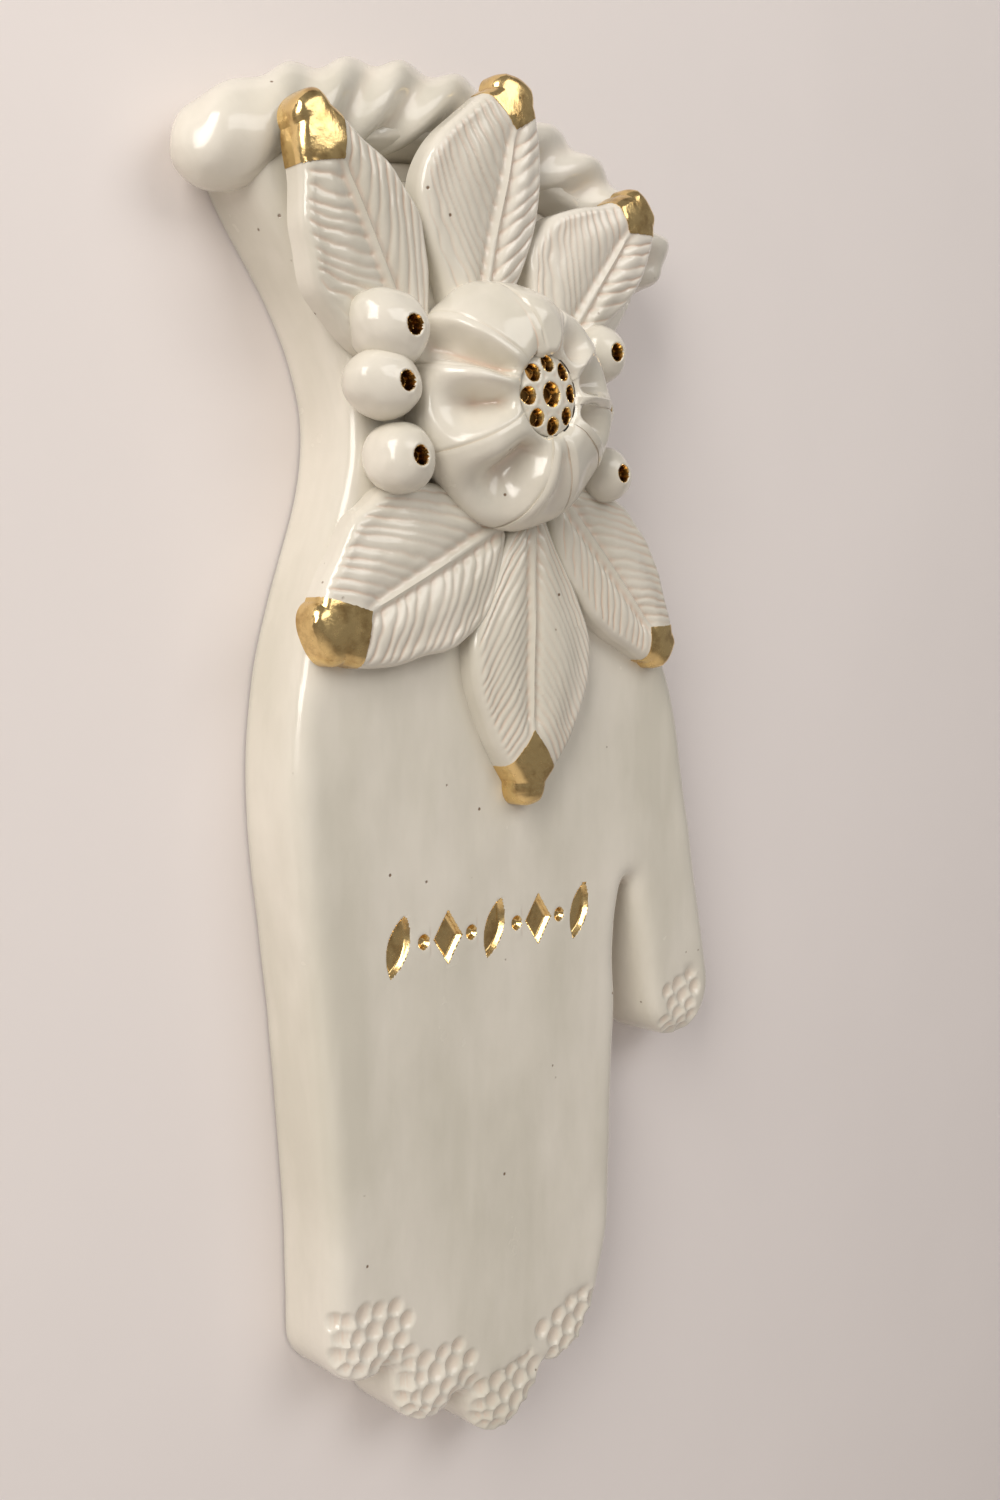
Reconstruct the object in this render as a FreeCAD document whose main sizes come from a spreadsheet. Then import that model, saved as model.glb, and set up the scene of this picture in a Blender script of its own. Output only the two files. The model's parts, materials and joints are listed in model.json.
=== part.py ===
import FreeCAD, Part
import math
import os

# A hanging ceramic hand: a hollow slab-built hand on a flat back slab, with a twisted
# rim, six leaves, six berries, a ten-petalled flower and thin fired gold lustre.
# X points right, Y into the wall, Z up. The origin is the centre of the hanging hole
# on the back face, and the hand hangs with its fingers down.

os.makedirs("parts", exist_ok=True)
doc = FreeCAD.newDocument("ceramic_hand")

# Driving sizes, millimetres, and degrees where the name says angle
drivingSizes = {
    "handDepth": 15.0,
    "backPlate": 4.5,
    "clayWall": 4.5,
    "edgeRound": 4.0,
    "holeDiameter": 8.0,
    "cuffWidth": 96.4,
    "cuffRise": 10.0,
    "wristWidth": 61.6,
    "wristDrop": 26.0,
    "palmWidth": 87.0,
    "knuckleWidth": 76.6,
    "fingerWidth": 20.0,
    "littleDrop": 199.5,
    "ringDrop": 213.5,
    "middleDrop": 223.5,
    "indexDrop": 215.0,
    "fingerNotch": 1.5,
    "thumbWidth": 22.4,
    "thumbDrop": 152.5,
    "thumbReach": 64.0,
    "thumbAngle": 12.2,
    "crotchDrop": 116.0,
    "crotchRound": 1.8,
    "rimSpan": 108.0,
    "rimCrown": 16.5,
    "rimRise": 17.0,
    "rimThickness": 17.0,
    "rimSeat": 4.0,
    "rimTwistLength": 26.0,
    "rimShift": 2.0,
    "flowerOffset": 1.5,
    "flowerDrop": 18.5,
    "flowerDiameter": 47.0,
    "flowerHeight": 17.5,
    "coreDiameter": 26.0,
    "seedDiameter": 13.6,
    "seedHeight": 3.0,
    "petalClearance": 0.2,
    "seedPit": 2.9,
    "seedEyePit": 4.0,
    "berryDiameter": 13.0,
    "berryPit": 3.2,
    "berrySink": 0.8,
    "leafThickness": 5.0,
    "leafEdge": 2.2,
    "leafClearance": 0.8,
    "lustreFilm": 0.3,
    "stampHeight": 11.0,
    "stampDepth": 1.0,
    "stampPitch": 12.4,
    "stampDrop": 118.5,
    "stampOffset": 3.6,
    "stampDot": 2.2,
}

sizes = doc.addObject("Spreadsheet::Sheet", "Sizes")
for row, (name, value) in enumerate(drivingSizes.items(), start=1):
    sizes.set("A%d" % row, name)
    sizes.set("B%d" % row, str(value))
    sizes.setAlias("B%d" % row, name)
doc.recompute()


def size(name):
    return float(sizes.get(name))


subParts = []


def keep(feature, label):
    feature.Label = label
    subParts.append(feature)
    return feature


def solidFeature(name, shape):
    feature = doc.addObject("Part::Feature", name)
    feature.Shape = shape
    return feature


def cutFeature(name, base, tool):
    feature = doc.addObject("Part::Cut", name)
    feature.Base = base
    feature.Tool = tool
    return feature


def flat(x, z):
    return FreeCAD.Vector(x, 0, z)


# Outline of the hand, drawn on the back face

def around(centre, radius, degrees):
    turn = math.radians(degrees)
    return flat(centre.x + radius * math.cos(turn), centre.z + radius * math.sin(turn))


def arcEdge(centre, radius, start, end):
    middle = (start + end) / 2
    return Part.Arc(around(centre, radius, start), around(centre, radius, middle),
                    around(centre, radius, end)).toShape()


def bearing(centre, point):
    return math.degrees(math.atan2(point.z - centre.z, point.x - centre.x))


def sideCurve(points, startWay, endWay):
    curve = Part.BSplineCurve()
    curve.interpolate(Points=points, InitialTangent=startWay, FinalTangent=endWay)
    return curve.toShape()


cuffShares = [(0.62, 3.8), (0.5, 1.0), (0.402, -0.33)]
leftPalmShares = [(0.436, 0.24), (0.5, 0.358), (0.468, 0.537), (0.426, 0.738)]
rightPalmShares = [(0.4425, 0.197), (0.569, 0.25), (0.684, 0.318), (0.739, 0.398), (0.787, 0.483)]
indexSideShares = [(0.4575, 0.85), (0.471, 0.738), (0.483, 0.625)]
fingerTips = [("littleDrop", -0.3525, 0.475), ("ringDrop", -0.137, 0.54),
              ("middleDrop", 0.108, 0.49), ("indexDrop", 0.333, 0.475)]
indexSideAngle = 15.0


def cuffPoints(side):
    points = [flat(side * size("cuffWidth") * x, size("cuffRise") * z) for x, z in cuffShares]
    points.append(flat(side * size("wristWidth") / 2, -size("wristDrop")))
    return points


def palmPoints(shares, side):
    return [flat(side * size("palmWidth") * x, -size("middleDrop") * z) for x, z in shares]


def fingerCircles():
    circles = []
    for drop, place, share in fingerTips:
        radius = share * size("fingerWidth")
        centre = flat(place * size("knuckleWidth"), -(size(drop) - radius))
        circles.append((centre, radius))
    return circles


def notchCircle(first, second):
    centreA, radiusA = first
    centreB, radiusB = second
    across = centreB - centreA
    gap = across.Length - radiusA - radiusB
    radius = max(size("fingerNotch"), gap / 2 + size("fingerNotch") / 4)
    reachA = radiusA + radius
    reachB = radiusB + radius
    along = (across.Length ** 2 + reachA ** 2 - reachB ** 2) / (2 * across.Length)
    down = math.sqrt(max(reachA ** 2 - along ** 2, 0))
    way = across.normalize()
    return centreA + way * along + flat(way.z, -way.x) * down, radius


def fingerEdges():
    circles = fingerCircles()
    edges = []
    start = 180.0
    for first, second in zip(circles, circles[1:]):
        notch, radius = notchCircle(first, second)
        end = bearing(first[0], notch) % 360
        edges.append(arcEdge(first[0], first[1], start, end if end > start else end + 360))
        edges.append(arcEdge(notch, radius, bearing(notch, first[0]) % 360, bearing(notch, second[0])))
        start = bearing(second[0], notch) % 360
    edges.append(arcEdge(circles[-1][0], circles[-1][1], start, 360 - indexSideAngle))
    return edges


def handOutline():
    circles = fingerCircles()
    down = flat(0, -1)
    left = cuffPoints(-1) + palmPoints(leftPalmShares, -1)
    left.append(around(circles[0][0], circles[0][1], 180))
    edges = [sideCurve(left, left[1] - left[0], down)]
    edges += fingerEdges()
    lean = size("thumbAngle")
    tipRadius = size("thumbWidth") / 2
    tip = flat(size("thumbReach"), -(size("thumbDrop") - tipRadius))
    crotchRadius = size("crotchRound")
    beside = around(tip, -(tipRadius + crotchRadius), lean)
    climb = (-size("crotchDrop") - beside.z) / math.cos(math.radians(lean))
    crotch = around(beside, climb, 90 + lean)
    indexStart = around(circles[-1][0], circles[-1][1], -indexSideAngle)
    inner = [indexStart] + palmPoints(indexSideShares, 1)
    inner.append(around(crotch, crotchRadius, 180 - indexSideAngle))
    edgeWay = around(flat(0, 0), 1, 90 - indexSideAngle)
    edges.append(sideCurve(inner, edgeWay, edgeWay))
    edges.append(arcEdge(crotch, crotchRadius, 180 - indexSideAngle, lean))
    edges.append(Part.makeLine(around(crotch, crotchRadius, lean), around(tip, -tipRadius, lean)))
    edges.append(arcEdge(tip, tipRadius, 180 + lean, 360 + lean))
    outer = [around(tip, tipRadius, lean)] + palmPoints(rightPalmShares[::-1], 1) + cuffPoints(1)[::-1]
    edges.append(sideCurve(outer, around(flat(0, 0), 1, 90 + lean), outer[-1] - outer[-2]))
    edges.append(Part.makeLine(outer[-1], left[0]))
    return Part.Wire(edges)


def extrusion(name, outline, depth):
    feature = doc.addObject("Part::Extrusion", name)
    feature.Base = outline
    feature.DirMode = "Custom"
    feature.Dir = FreeCAD.Vector(0, -1, 0)
    feature.Solid = True
    feature.setExpression("LengthFwd", depth)
    return feature


# The arch along the top of the cuff: a circle through the rim's two ends and its crown

def archRadius():
    half = size("rimSpan") / 2
    crown = size("rimCrown")
    return (half ** 2 + crown ** 2) / (2 * crown)


def archCentre():
    return flat(0, size("rimRise") + size("rimCrown") - archRadius())


def archDisc(name, inset, behind):
    disc = doc.addObject("Part::Cylinder", name)
    disc.Radius = archRadius() - size("rimSeat") - inset
    disc.Height = behind + size("handDepth") * (2 if behind else 1)
    disc.Placement = FreeCAD.Placement(archCentre() + FreeCAD.Vector(0, behind, 0),
                                       FreeCAD.Rotation(FreeCAD.Vector(1, 0, 0), 90))
    return disc


def crownWaste(name, inset):
    block = doc.addObject("Part::Box", name + "Block")
    block.setExpression("Length", "2 * Sizes.rimSpan")
    block.setExpression("Width", "2 * Sizes.handDepth")
    block.setExpression("Height", "Sizes.rimSpan")
    block.Placement.Base = FreeCAD.Vector(-size("rimSpan"), -1.5 * size("handDepth"), 0)
    return cutFeature(name, block, archDisc(name + "Disc", inset, 2 * size("handDepth")))


def frontEdges(shape, depth):
    near = depth / 1000
    chosen = []
    for edge in shape.Edges:
        box = edge.BoundBox
        onFront = abs(box.YMin + depth) < near and box.YLength < near
        onArch = box.ZMin > 0
        if onFront and not onArch:
            chosen.append(edge)
    return chosen


outline = solidFeature("HandOutline", Part.Face(handOutline()))
block = extrusion("HandBlock", outline, "Sizes.handDepth")
plate = extrusion("PlateBlock", outline, "Sizes.backPlate")
waste = crownWaste("CrownWaste", 0)
trimmed = cutFeature("HandTrimmed", block, waste)
doc.recompute()
envelope = solidFeature("HandEnvelope", trimmed.Shape.makeFillet(
    size("edgeRound"), frontEdges(trimmed.Shape, size("handDepth"))))


# Back slab: the flat plate against the wall, with the round hanging hole

def backSlab():
    hole = doc.addObject("Part::Cylinder", "HangingHole")
    hole.setExpression("Radius", "Sizes.holeDiameter / 2")
    hole.setExpression("Height", "3 * Sizes.backPlate")
    hole.Placement = FreeCAD.Placement(FreeCAD.Vector(0, size("backPlate"), 0),
                                       FreeCAD.Rotation(FreeCAD.Vector(1, 0, 0), 90))
    trimmed = cutFeature("PlateTrimmed", plate, waste)
    return keep(cutFeature("BackSlab", trimmed, hole), "back_slab")


# Stamped ornaments: leaf, lozenge and dot shapes pressed into the palm and gilded

def lozenge(centre, wide, tall):
    corners = [centre + flat(x, z) for x, z in [(wide, 0), (0, tall), (-wide, 0), (0, -tall)]]
    return Part.Face(Part.makePolygon(corners + corners[:1]))


def almond(centre, wide, tall, lean):
    top = around(centre, tall, 90 + lean)
    bottom = around(centre, tall, 270 + lean)
    right = around(centre, wide, lean)
    left = around(centre, wide, 180 + lean)
    sides = [Part.Arc(top, right, bottom).toShape(), Part.Arc(bottom, left, top).toShape()]
    return Part.Face(Part.Wire(sides))


def dot(centre, radius):
    return Part.Face(Part.Wire(Part.Circle(centre, FreeCAD.Vector(0, -1, 0), radius).toShape()))


stampCount = 5
almondLean = 18.0
almondShare = 0.2
lozengeShare = 0.3
lozengeTallShare = 0.42


def stampPlace(steps):
    return flat(size("stampOffset") + steps * size("stampPitch"), -size("stampDrop"))


def stampFaces():
    tall = size("stampHeight")
    faces = {}
    middle = (stampCount - 1) / 2
    for place in range(stampCount):
        centre = stampPlace(place - middle)
        if place % 2:
            face = lozenge(centre, lozengeShare * tall, lozengeTallShare * tall)
            faces["gilt_lozenge_%d" % (place // 2 + 1)] = [face]
        else:
            face = almond(centre, almondShare * tall, tall / 2, -almondLean)
            faces["gilt_leaf_%d" % (place // 2 + 1)] = [face]
    dots = []
    for gap in range(stampCount - 1):
        dots.append(dot(stampPlace(gap + 0.5 - middle), size("stampDot") / 2))
    faces["gilt_dots"] = dots
    return faces


def lifted(face, depth):
    return face.translated(FreeCAD.Vector(0, depth, 0))


def stampRecess():
    depth = size("stampDepth")
    blocks = [lifted(face, -size("handDepth") - depth).extrude(FreeCAD.Vector(0, 2 * depth, 0))
              for faces in stampFaces().values() for face in faces]
    return solidFeature("StampRecess", Part.makeCompound(blocks))


def gildedStamps():
    film = size("lustreFilm")
    bed = size("stampDepth") - size("handDepth")
    for label, faces in stampFaces().items():
        films = [lifted(face, bed).extrude(FreeCAD.Vector(0, -film, 0)) for face in faces]
        shape = films[0] if len(films) == 1 else Part.makeCompound(films)
        keep(solidFeature("Stamp_" + label, shape), label)


# Hand shell: the raised front of the hand, hollow behind, closed round its edge

insetPoints = 9


def insetOutline():
    edges = []
    for edge in outline.Shape.makeOffset2D(-size("clayWall")).OuterWire.OrderedEdges:
        curve = Part.BSplineCurve()
        curve.interpolate(edge.discretize(insetPoints))
        edges.append(edge if edge.Curve.TypeId in ("Part::GeomLine", "Part::GeomCircle") else curve.toShape())
    return solidFeature("HollowOutline", Part.Face(Part.Wire(edges)))


def handShell():
    behind = extrusion("BehindPlate", outline, "Sizes.backPlate")
    hollow = extrusion("HollowBlock", insetOutline(), "Sizes.handDepth - Sizes.clayWall")
    inner = cutFeature("Hollow", hollow, crownWaste("HollowWaste", size("clayWall")))
    lid = cutFeature("ShellBlock", cutFeature("ShellLid", envelope, behind), inner)
    return keep(cutFeature("HandShell", lid, stampRecess()), "hand_shell")


# Twisted rim: a two-lobed coil of clay wound along the arch of the cuff

ropeLobes = 2
ropeLobeShare = 0.24
ropeRingPoints = 12
ropeStepsPerTurn = 7
ropeEndShares = [(0.0, 0.3), (0.012, 0.62), (0.035, 0.88), (0.07, 1.0)]


def ropeSwell(along):
    nearest = min(along, 1 - along)
    for (fromShare, fromSize), (toShare, toSize) in zip(ropeEndShares, ropeEndShares[1:]):
        if nearest <= toShare:
            return fromSize + (toSize - fromSize) * (nearest - fromShare) / (toShare - fromShare)
    return 1.0


def ropeSection(along, halfAngle, turns):
    radius = size("rimThickness") / 2
    bow = math.radians(-halfAngle + 2 * halfAngle * along) - size("rimShift") / archRadius()
    outward = FreeCAD.Vector(math.sin(bow), 0, math.cos(bow))
    centre = archCentre() + outward * archRadius() + FreeCAD.Vector(0, -radius, 0)
    points = []
    for step in range(ropeRingPoints):
        turn = 2 * math.pi * step / ropeRingPoints
        wound = turn + 2 * math.pi * turns * along
        lobe = 1 - ropeLobeShare * (1 - math.cos(ropeLobes * wound)) / 2
        reach = radius * lobe * ropeSwell(along)
        forward = FreeCAD.Vector(0, -reach * math.sin(turn), 0)
        points.append(centre + outward * (reach * math.cos(turn)) + forward)
    ring = Part.BSplineCurve()
    ring.interpolate(Points=points, PeriodicFlag=True)
    return Part.Wire(ring.toShape())


def rimRope():
    halfAngle = math.degrees(math.asin(size("rimSpan") / 2 / archRadius()))
    pastEnd = math.degrees(size("rimThickness") / 2 / archRadius()) / 2
    halfAngle += pastEnd
    arcLength = math.radians(2 * halfAngle) * archRadius()
    turns = arcLength / size("rimTwistLength")
    middleSteps = max(ropeStepsPerTurn, round(turns * ropeStepsPerTurn))
    ends = [share for share, swell in ropeEndShares]
    steps = ends + [ends[-1] + (1 - 2 * ends[-1]) * step / middleSteps for step in range(1, middleSteps)]
    steps += [1 - share for share in ends[::-1]]
    rings = [ropeSection(step, halfAngle, turns) for step in steps]
    coil = solidFeature("RimCoil", Part.makeLoft(rings, True))
    bed = doc.addObject("Part::Box", "RimBed")
    bed.setExpression("Length", "2 * Sizes.rimSpan")
    bed.setExpression("Width", "Sizes.rimThickness")
    bed.setExpression("Height", "Sizes.rimSpan")
    bed.Placement.Base = flat(-size("rimSpan"), 0)
    seat = archDisc("RimSeat", 0, 0)
    return keep(cutFeature("RimRope", cutFeature("RimBedded", coil, bed), seat), "rim_rope")


# Flower: ten cupped petals pinched together at their edges round a core and a seed disc

petalEdges = [4.0, 36.0, 76.0, 112.0, 147.0, 173.0, 212.0, 262.0, 300.0, 334.0]
heartShare = 0.12
ridgeShares = [(0.3, 1.0), (0.46, 0.99), (0.72, 0.84), (0.92, 0.55), (1.0, 0.26), (0.94, 0.0)]
cupShares = [(0.3, 0.92), (0.46, 0.84), (0.68, 0.64), (0.86, 0.4), (0.95, 0.2), (0.93, 0.0)]
petalStops = [(0.0, 1.0), (0.16, 0.62), (0.5, 0.0), (0.84, 0.62), (1.0, 1.0)]


def flowerCentre():
    return FreeCAD.Vector(size("flowerOffset"), -size("handDepth"), -size("flowerDrop"))


def flowerPoint(radius, height, degrees):
    return around(flowerCentre(), radius, degrees) + FreeCAD.Vector(0, -size("handDepth") - height, 0)


def flowerProfile(edgeShare, degrees, inner):
    wide = size("flowerDiameter") / 2
    tall = size("flowerHeight")
    points = [flowerPoint(inner, tall * (cupShares[0][1] + (1 - cupShares[0][1]) * edgeShare), degrees)]
    for (ridgeX, ridgeY), (cupX, cupY) in zip(ridgeShares, cupShares):
        radius = wide * (cupX + (ridgeX - cupX) * edgeShare)
        points.append(flowerPoint(radius, tall * (cupY + (ridgeY - cupY) * edgeShare), degrees))
    top = Part.BSplineCurve()
    top.interpolate(points)
    base = flowerPoint(inner, 0, degrees)
    return Part.Wire([top.toShape(), Part.makeLine(points[-1], base), Part.makeLine(base, points[0])])


def flowerPost(diameter):
    return Part.makeCylinder(diameter / 2 + size("petalClearance"), 2 * size("flowerHeight"),
                             flowerCentre(), FreeCAD.Vector(0, -1, 0))


def seedSeat():
    return size("flowerHeight") - size("seedHeight")


def flowerCore():
    core = doc.addObject("Part::Cone", "FlowerCore")
    core.setExpression("Radius1", "Sizes.coreDiameter / 2")
    core.setExpression("Radius2", "Sizes.seedDiameter / 2")
    core.setExpression("Height", "Sizes.flowerHeight - Sizes.seedHeight")
    core.Placement = FreeCAD.Placement(flowerCentre(), FreeCAD.Rotation(FreeCAD.Vector(1, 0, 0), 90))
    return keep(core, "flower_core")


def petalShape(first, last, heart):
    wires = []
    for share, edgeShare in petalStops:
        inner = heartShare * size("flowerDiameter")
        wires.append(flowerProfile(edgeShare, first + (last - first) * share, inner))
    left = Part.makeLoft(wires[:3], True)
    right = Part.makeLoft(wires[2:], True)
    return left.fuse(right).cut(heart)


def petals(core):
    heart = core.Shape.fuse(flowerPost(size("seedDiameter")))
    for number, first in enumerate(petalEdges, start=1):
        last = petalEdges[number] if number < len(petalEdges) else petalEdges[0] + 360
        keep(solidFeature("Petal%02d" % number, petalShape(first, last, heart)), "petal_%02d" % number)


# Seed disc: a low turned dome with one gilded pit in its eye and a ring of smaller ones

seedRingShare = 0.355
seedRingCount = 8
seedSkirtShare = 0.75
pitSinkShare = 0.1


def seedDome():
    body = doc.addObject("PartDesign::Body", "SeedDome")
    sketch = body.newObject("Sketcher::SketchObject", "SeedProfile")
    front = [feature for feature in body.Origin.OriginFeatures if feature.Role == "XZ_Plane"][0]
    sketch.AttachmentSupport = [(front, "")]
    sketch.MapMode = "FlatFace"
    radius = size("seedDiameter") / 2
    skirt = seedSkirtShare * size("seedHeight")
    bulge = size("seedHeight") - skirt
    domeRadius = (radius ** 2 + bulge ** 2) / (2 * bulge)
    top = FreeCAD.Vector(0, size("seedHeight"), 0)
    corner = FreeCAD.Vector(radius, skirt, 0)
    foot = FreeCAD.Vector(radius, 0, 0)
    drop = domeRadius - math.sqrt(domeRadius ** 2 - radius ** 2 / 4)
    middle = FreeCAD.Vector(radius / 2, size("seedHeight") - drop, 0)
    origin = FreeCAD.Vector(0, 0, 0)
    for start, end in [(origin, foot), (foot, corner), (top, origin)]:
        sketch.addGeometry(Part.LineSegment(start, end), False)
    sketch.addGeometry(Part.Arc(corner, middle, top), False)
    turned = body.newObject("PartDesign::Revolution", "SeedTurned")
    turned.Profile = sketch
    turned.ReferenceAxis = (sketch, ["V_Axis"])
    turned.Angle = 360
    body.Placement = FreeCAD.Placement(flowerCentre() + FreeCAD.Vector(0, -seedSeat(), 0),
                                       FreeCAD.Rotation(FreeCAD.Vector(1, 0, 0), 90))
    return body


def seedPits():
    eye = [(size("seedEyePit") / 2, flowerPoint(0, size("flowerHeight"), 0))]
    ring = []
    for number in range(seedRingCount):
        degrees = number * 360 / seedRingCount
        ring.append((size("seedPit") / 2,
                     flowerPoint(seedRingShare * size("seedDiameter"), size("flowerHeight"), degrees)))
    return eye, ring


def clayBall(radius, centre):
    return Part.makeSphere(radius, centre, FreeCAD.Vector(0, -1, 0))


def pitBalls(pits, sink, grow):
    return [clayBall(radius + grow, centre + FreeCAD.Vector(0, sink, 0)) for radius, centre in pits]


def seedDisc():
    eye, ring = seedPits()
    sink = pitSinkShare * size("seedHeight")
    film = size("lustreFilm")
    dome = seedDome()
    doc.recompute()
    pits = solidFeature("SeedPits", Part.makeCompound(pitBalls(eye + ring, sink, film)))
    keep(cutFeature("SeedDisc", dome, pits), "seed_disc")
    for label, group in [("lustre_seed_eye", eye), ("lustre_seed_ring", ring)]:
        bowls = [outer.cut(inner).common(dome.Shape) for outer, inner in
                 zip(pitBalls(group, sink, film), pitBalls(group, sink, 0))]
        shape = bowls[0] if len(bowls) == 1 else Part.makeCompound(bowls)
        keep(solidFeature("Lustre_" + label, shape), label)


# Berries: balls of clay pressed on beside the flower, each with a gilded pit

# Each row: direction from the flower's centre in degrees, size as a share of a berry, and
# how far out of the petals its middle sits as a share of its own radius

berryPlaces = [
    ("berry_left_top", 163.0, 1.06, 1.0),
    ("berry_left_middle", 181.0, 0.93, 1.0),
    ("berry_left_bottom", 205.5, 1.0, 1.0),
    ("berry_right_top", 25.0, 0.9, 1.0),
    ("berry_right_middle", 2.5, 0.78, 0.6),
    ("berry_right_bottom", -21.5, 0.88, 1.1),
]


def behindPalm():
    wide = 3 * size("flowerDiameter")
    return Part.makeBox(2 * wide, wide, 2 * wide, flowerCentre() + flat(-wide, -wide))


def berries(flower, behind):
    done = []
    pitRadius = size("berryPit") / 2
    film = size("lustreFilm")
    for label, degrees, share, apart in berryPlaces:
        radius = share * size("berryDiameter") / 2
        reach = size("flowerDiameter") / 2 + size("petalClearance") + apart * radius
        centre = flowerPoint(reach, radius - size("berrySink"), degrees)
        whole = clayBall(radius, centre)
        clay = whole.cut(behind).cut(flower)
        for other in done:
            clay = clay.cut(other)
        mouth = centre + FreeCAD.Vector(0, -radius, 0)
        clayPit = clayBall(pitRadius + film, mouth)
        bowl = clayPit.cut(clayBall(pitRadius, mouth)).common(whole)
        keep(solidFeature("Clay_" + label, clay.cut(clayPit)), label)
        keep(solidFeature("Lustre_" + label, bowl), label.replace("berry", "lustre_berry"))
        done.append(whole)
    return done


# Leaves: arched above, flat below, and cut where the flower and the berries sit on them.
# Each plan: root and tip as shares of the flower's diameter from its centre, where the
# gilding begins on the midrib, whether it rises over the rim, which leaves lie over it, and
# its half widths on either side of the midrib as shares of its length, at the stations
# below. The gilding's edge follows the veins, which leave the midrib at veinAngle.

stationShares = [0.0, 0.14, 0.3, 0.45, 0.62, 0.78, 0.92, 1.0]
leafPlans = [
    ("leaf_upper_left", (-0.42, 0.12), (-0.95, 0.9), 0.7, True, [],
     [0.12, 0.24, 0.33, 0.36, 0.335, 0.25, 0.15, 0.08], [0.08, 0.16, 0.25, 0.285, 0.275, 0.21, 0.13, 0.07]),
    ("leaf_upper_right", (0.32, 0.2), (0.79, 0.95), 0.7, True, [],
     [0.15, 0.28, 0.39, 0.41, 0.32, 0.2, 0.12, 0.06], [0.08, 0.11, 0.16, 0.2, 0.23, 0.23, 0.2, 0.14]),
    ("leaf_upper_middle", (-0.13, 0.2), (0.03, 1.235), 0.8, True, [0, 1],
     [0.1, 0.17, 0.29, 0.37, 0.36, 0.26, 0.14, 0.05], [0.1, 0.13, 0.17, 0.2, 0.205, 0.19, 0.13, 0.06]),
    ("leaf_lower_left", (0.0, -0.48), (-0.93, -0.95), 0.66, False, [],
     [0.08, 0.25, 0.31, 0.3, 0.25, 0.18, 0.13, 0.09], [0.1, 0.2, 0.3, 0.35, 0.33, 0.24, 0.15, 0.09]),
    ("leaf_lower_right", (0.37, -0.36), (1.07, -1.03), 0.78, False, [],
     [0.12, 0.22, 0.28, 0.285, 0.26, 0.2, 0.13, 0.07], [0.1, 0.19, 0.22, 0.225, 0.195, 0.145, 0.09, 0.05]),
    ("leaf_lower_middle", (0.18, -0.42), (0.16, -1.62), 0.74, False, [3, 4],
     [0.08, 0.15, 0.26, 0.31, 0.295, 0.215, 0.09, 0.015], [0.08, 0.14, 0.22, 0.265, 0.24, 0.16, 0.06, 0.015]),
]
liftShares = [0.0, 0.0, 0.08, 0.3, 0.75, 1.0, 1.06, 1.1]
crownShares = [0.8, 0.92, 1.0, 1.0, 1.0, 0.96, 0.88, 0.75]
archShares = [(-1, 0), (-0.9, 0.5), (-0.7, 0.78), (-0.3, 0.96), (0, 1),
              (0.3, 0.96), (0.7, 0.78), (0.9, 0.5), (1, 0)]
veinAngle = 48.0


def leafAxis(plan):
    centre = flowerCentre()
    wide = size("flowerDiameter")
    start = centre + flat(plan[1][0] * wide, plan[1][1] * wide)
    run = centre + flat(plan[2][0] * wide, plan[2][1] * wide) - start
    length = run.Length
    along = run.normalize()
    return start, along, flat(along.z, -along.x), length


def leafShape(plan, grow):
    start, along, across, length = leafAxis(plan)
    rise = size("rimThickness") - size("handDepth") + size("leafClearance") if plan[4] else 0
    wires = []
    for number, place in enumerate(stationShares):
        bottom = liftShares[number] * rise - grow
        edge = bottom + size("leafEdge") + 2 * grow
        top = bottom + size("leafThickness") * crownShares[number] + 2 * grow
        spot = start + along * (length * place + (grow if place == stationShares[-1] else 0))
        reach = {-1: plan[6][number] * length + grow, 1: plan[7][number] * length + grow}
        points = []
        for side, height in archShares:
            out = side * reach[1 if side > 0 else -1]
            points.append(spot + across * out + FreeCAD.Vector(0, -edge - height * (top - edge), 0))
        left = FreeCAD.Vector(points[0].x, spot.y - bottom, points[0].z)
        right = FreeCAD.Vector(points[-1].x, spot.y - bottom, points[-1].z)
        arch = Part.BSplineCurve()
        arch.interpolate(points)
        wires.append(Part.Wire([arch.toShape(), Part.makeLine(points[-1], right), Part.makeLine(right, left),
                                Part.makeLine(left, points[0])]))
    return Part.makeLoft(wires, True)


def leafTip(plan):
    start, along, across, length = leafAxis(plan)
    reach = size("flowerDiameter")
    front = 0 if plan[4] else -size("handDepth")
    fork = start + along * (length * plan[3])
    fork.y = front
    vein = math.radians(veinAngle)
    left = fork + (along * math.cos(vein) - across * math.sin(vein)) * reach
    right = fork + (along * math.cos(vein) + across * math.sin(vein)) * reach
    corners = [fork, right, fork + along * (2 * reach), left]
    face = Part.Face(Part.makePolygon(corners + corners[:1]))
    return face.extrude(FreeCAD.Vector(0, -2 * reach, 0))


def leaves(flower, balls, behind):
    wholes = [leafShape(plan, 0) for plan in leafPlans]
    for plan, whole in zip(leafPlans, wholes):
        label = plan[0]
        leaf = whole.cut([flower, behind] + balls + [wholes[number] for number in plan[5]])
        main = max(leaf.Solids, key=lambda solid: solid.Volume)
        keep(solidFeature("Clay_" + label, main), label)
        coat = leafShape(plan, size("lustreFilm")).common(leafTip(plan)).cut(whole)
        keep(solidFeature("Lustre_" + label, coat), label.replace("leaf", "lustre"))


backSlab()
handShell()
gildedStamps()
rimRope()
core = flowerCore()
doc.recompute()
petals(core)
seedDisc()
flower = flowerPost(size("flowerDiameter"))
behind = behindPalm()
balls = berries(flower, behind)
leaves(flower, balls, behind)
doc.recompute()

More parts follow.
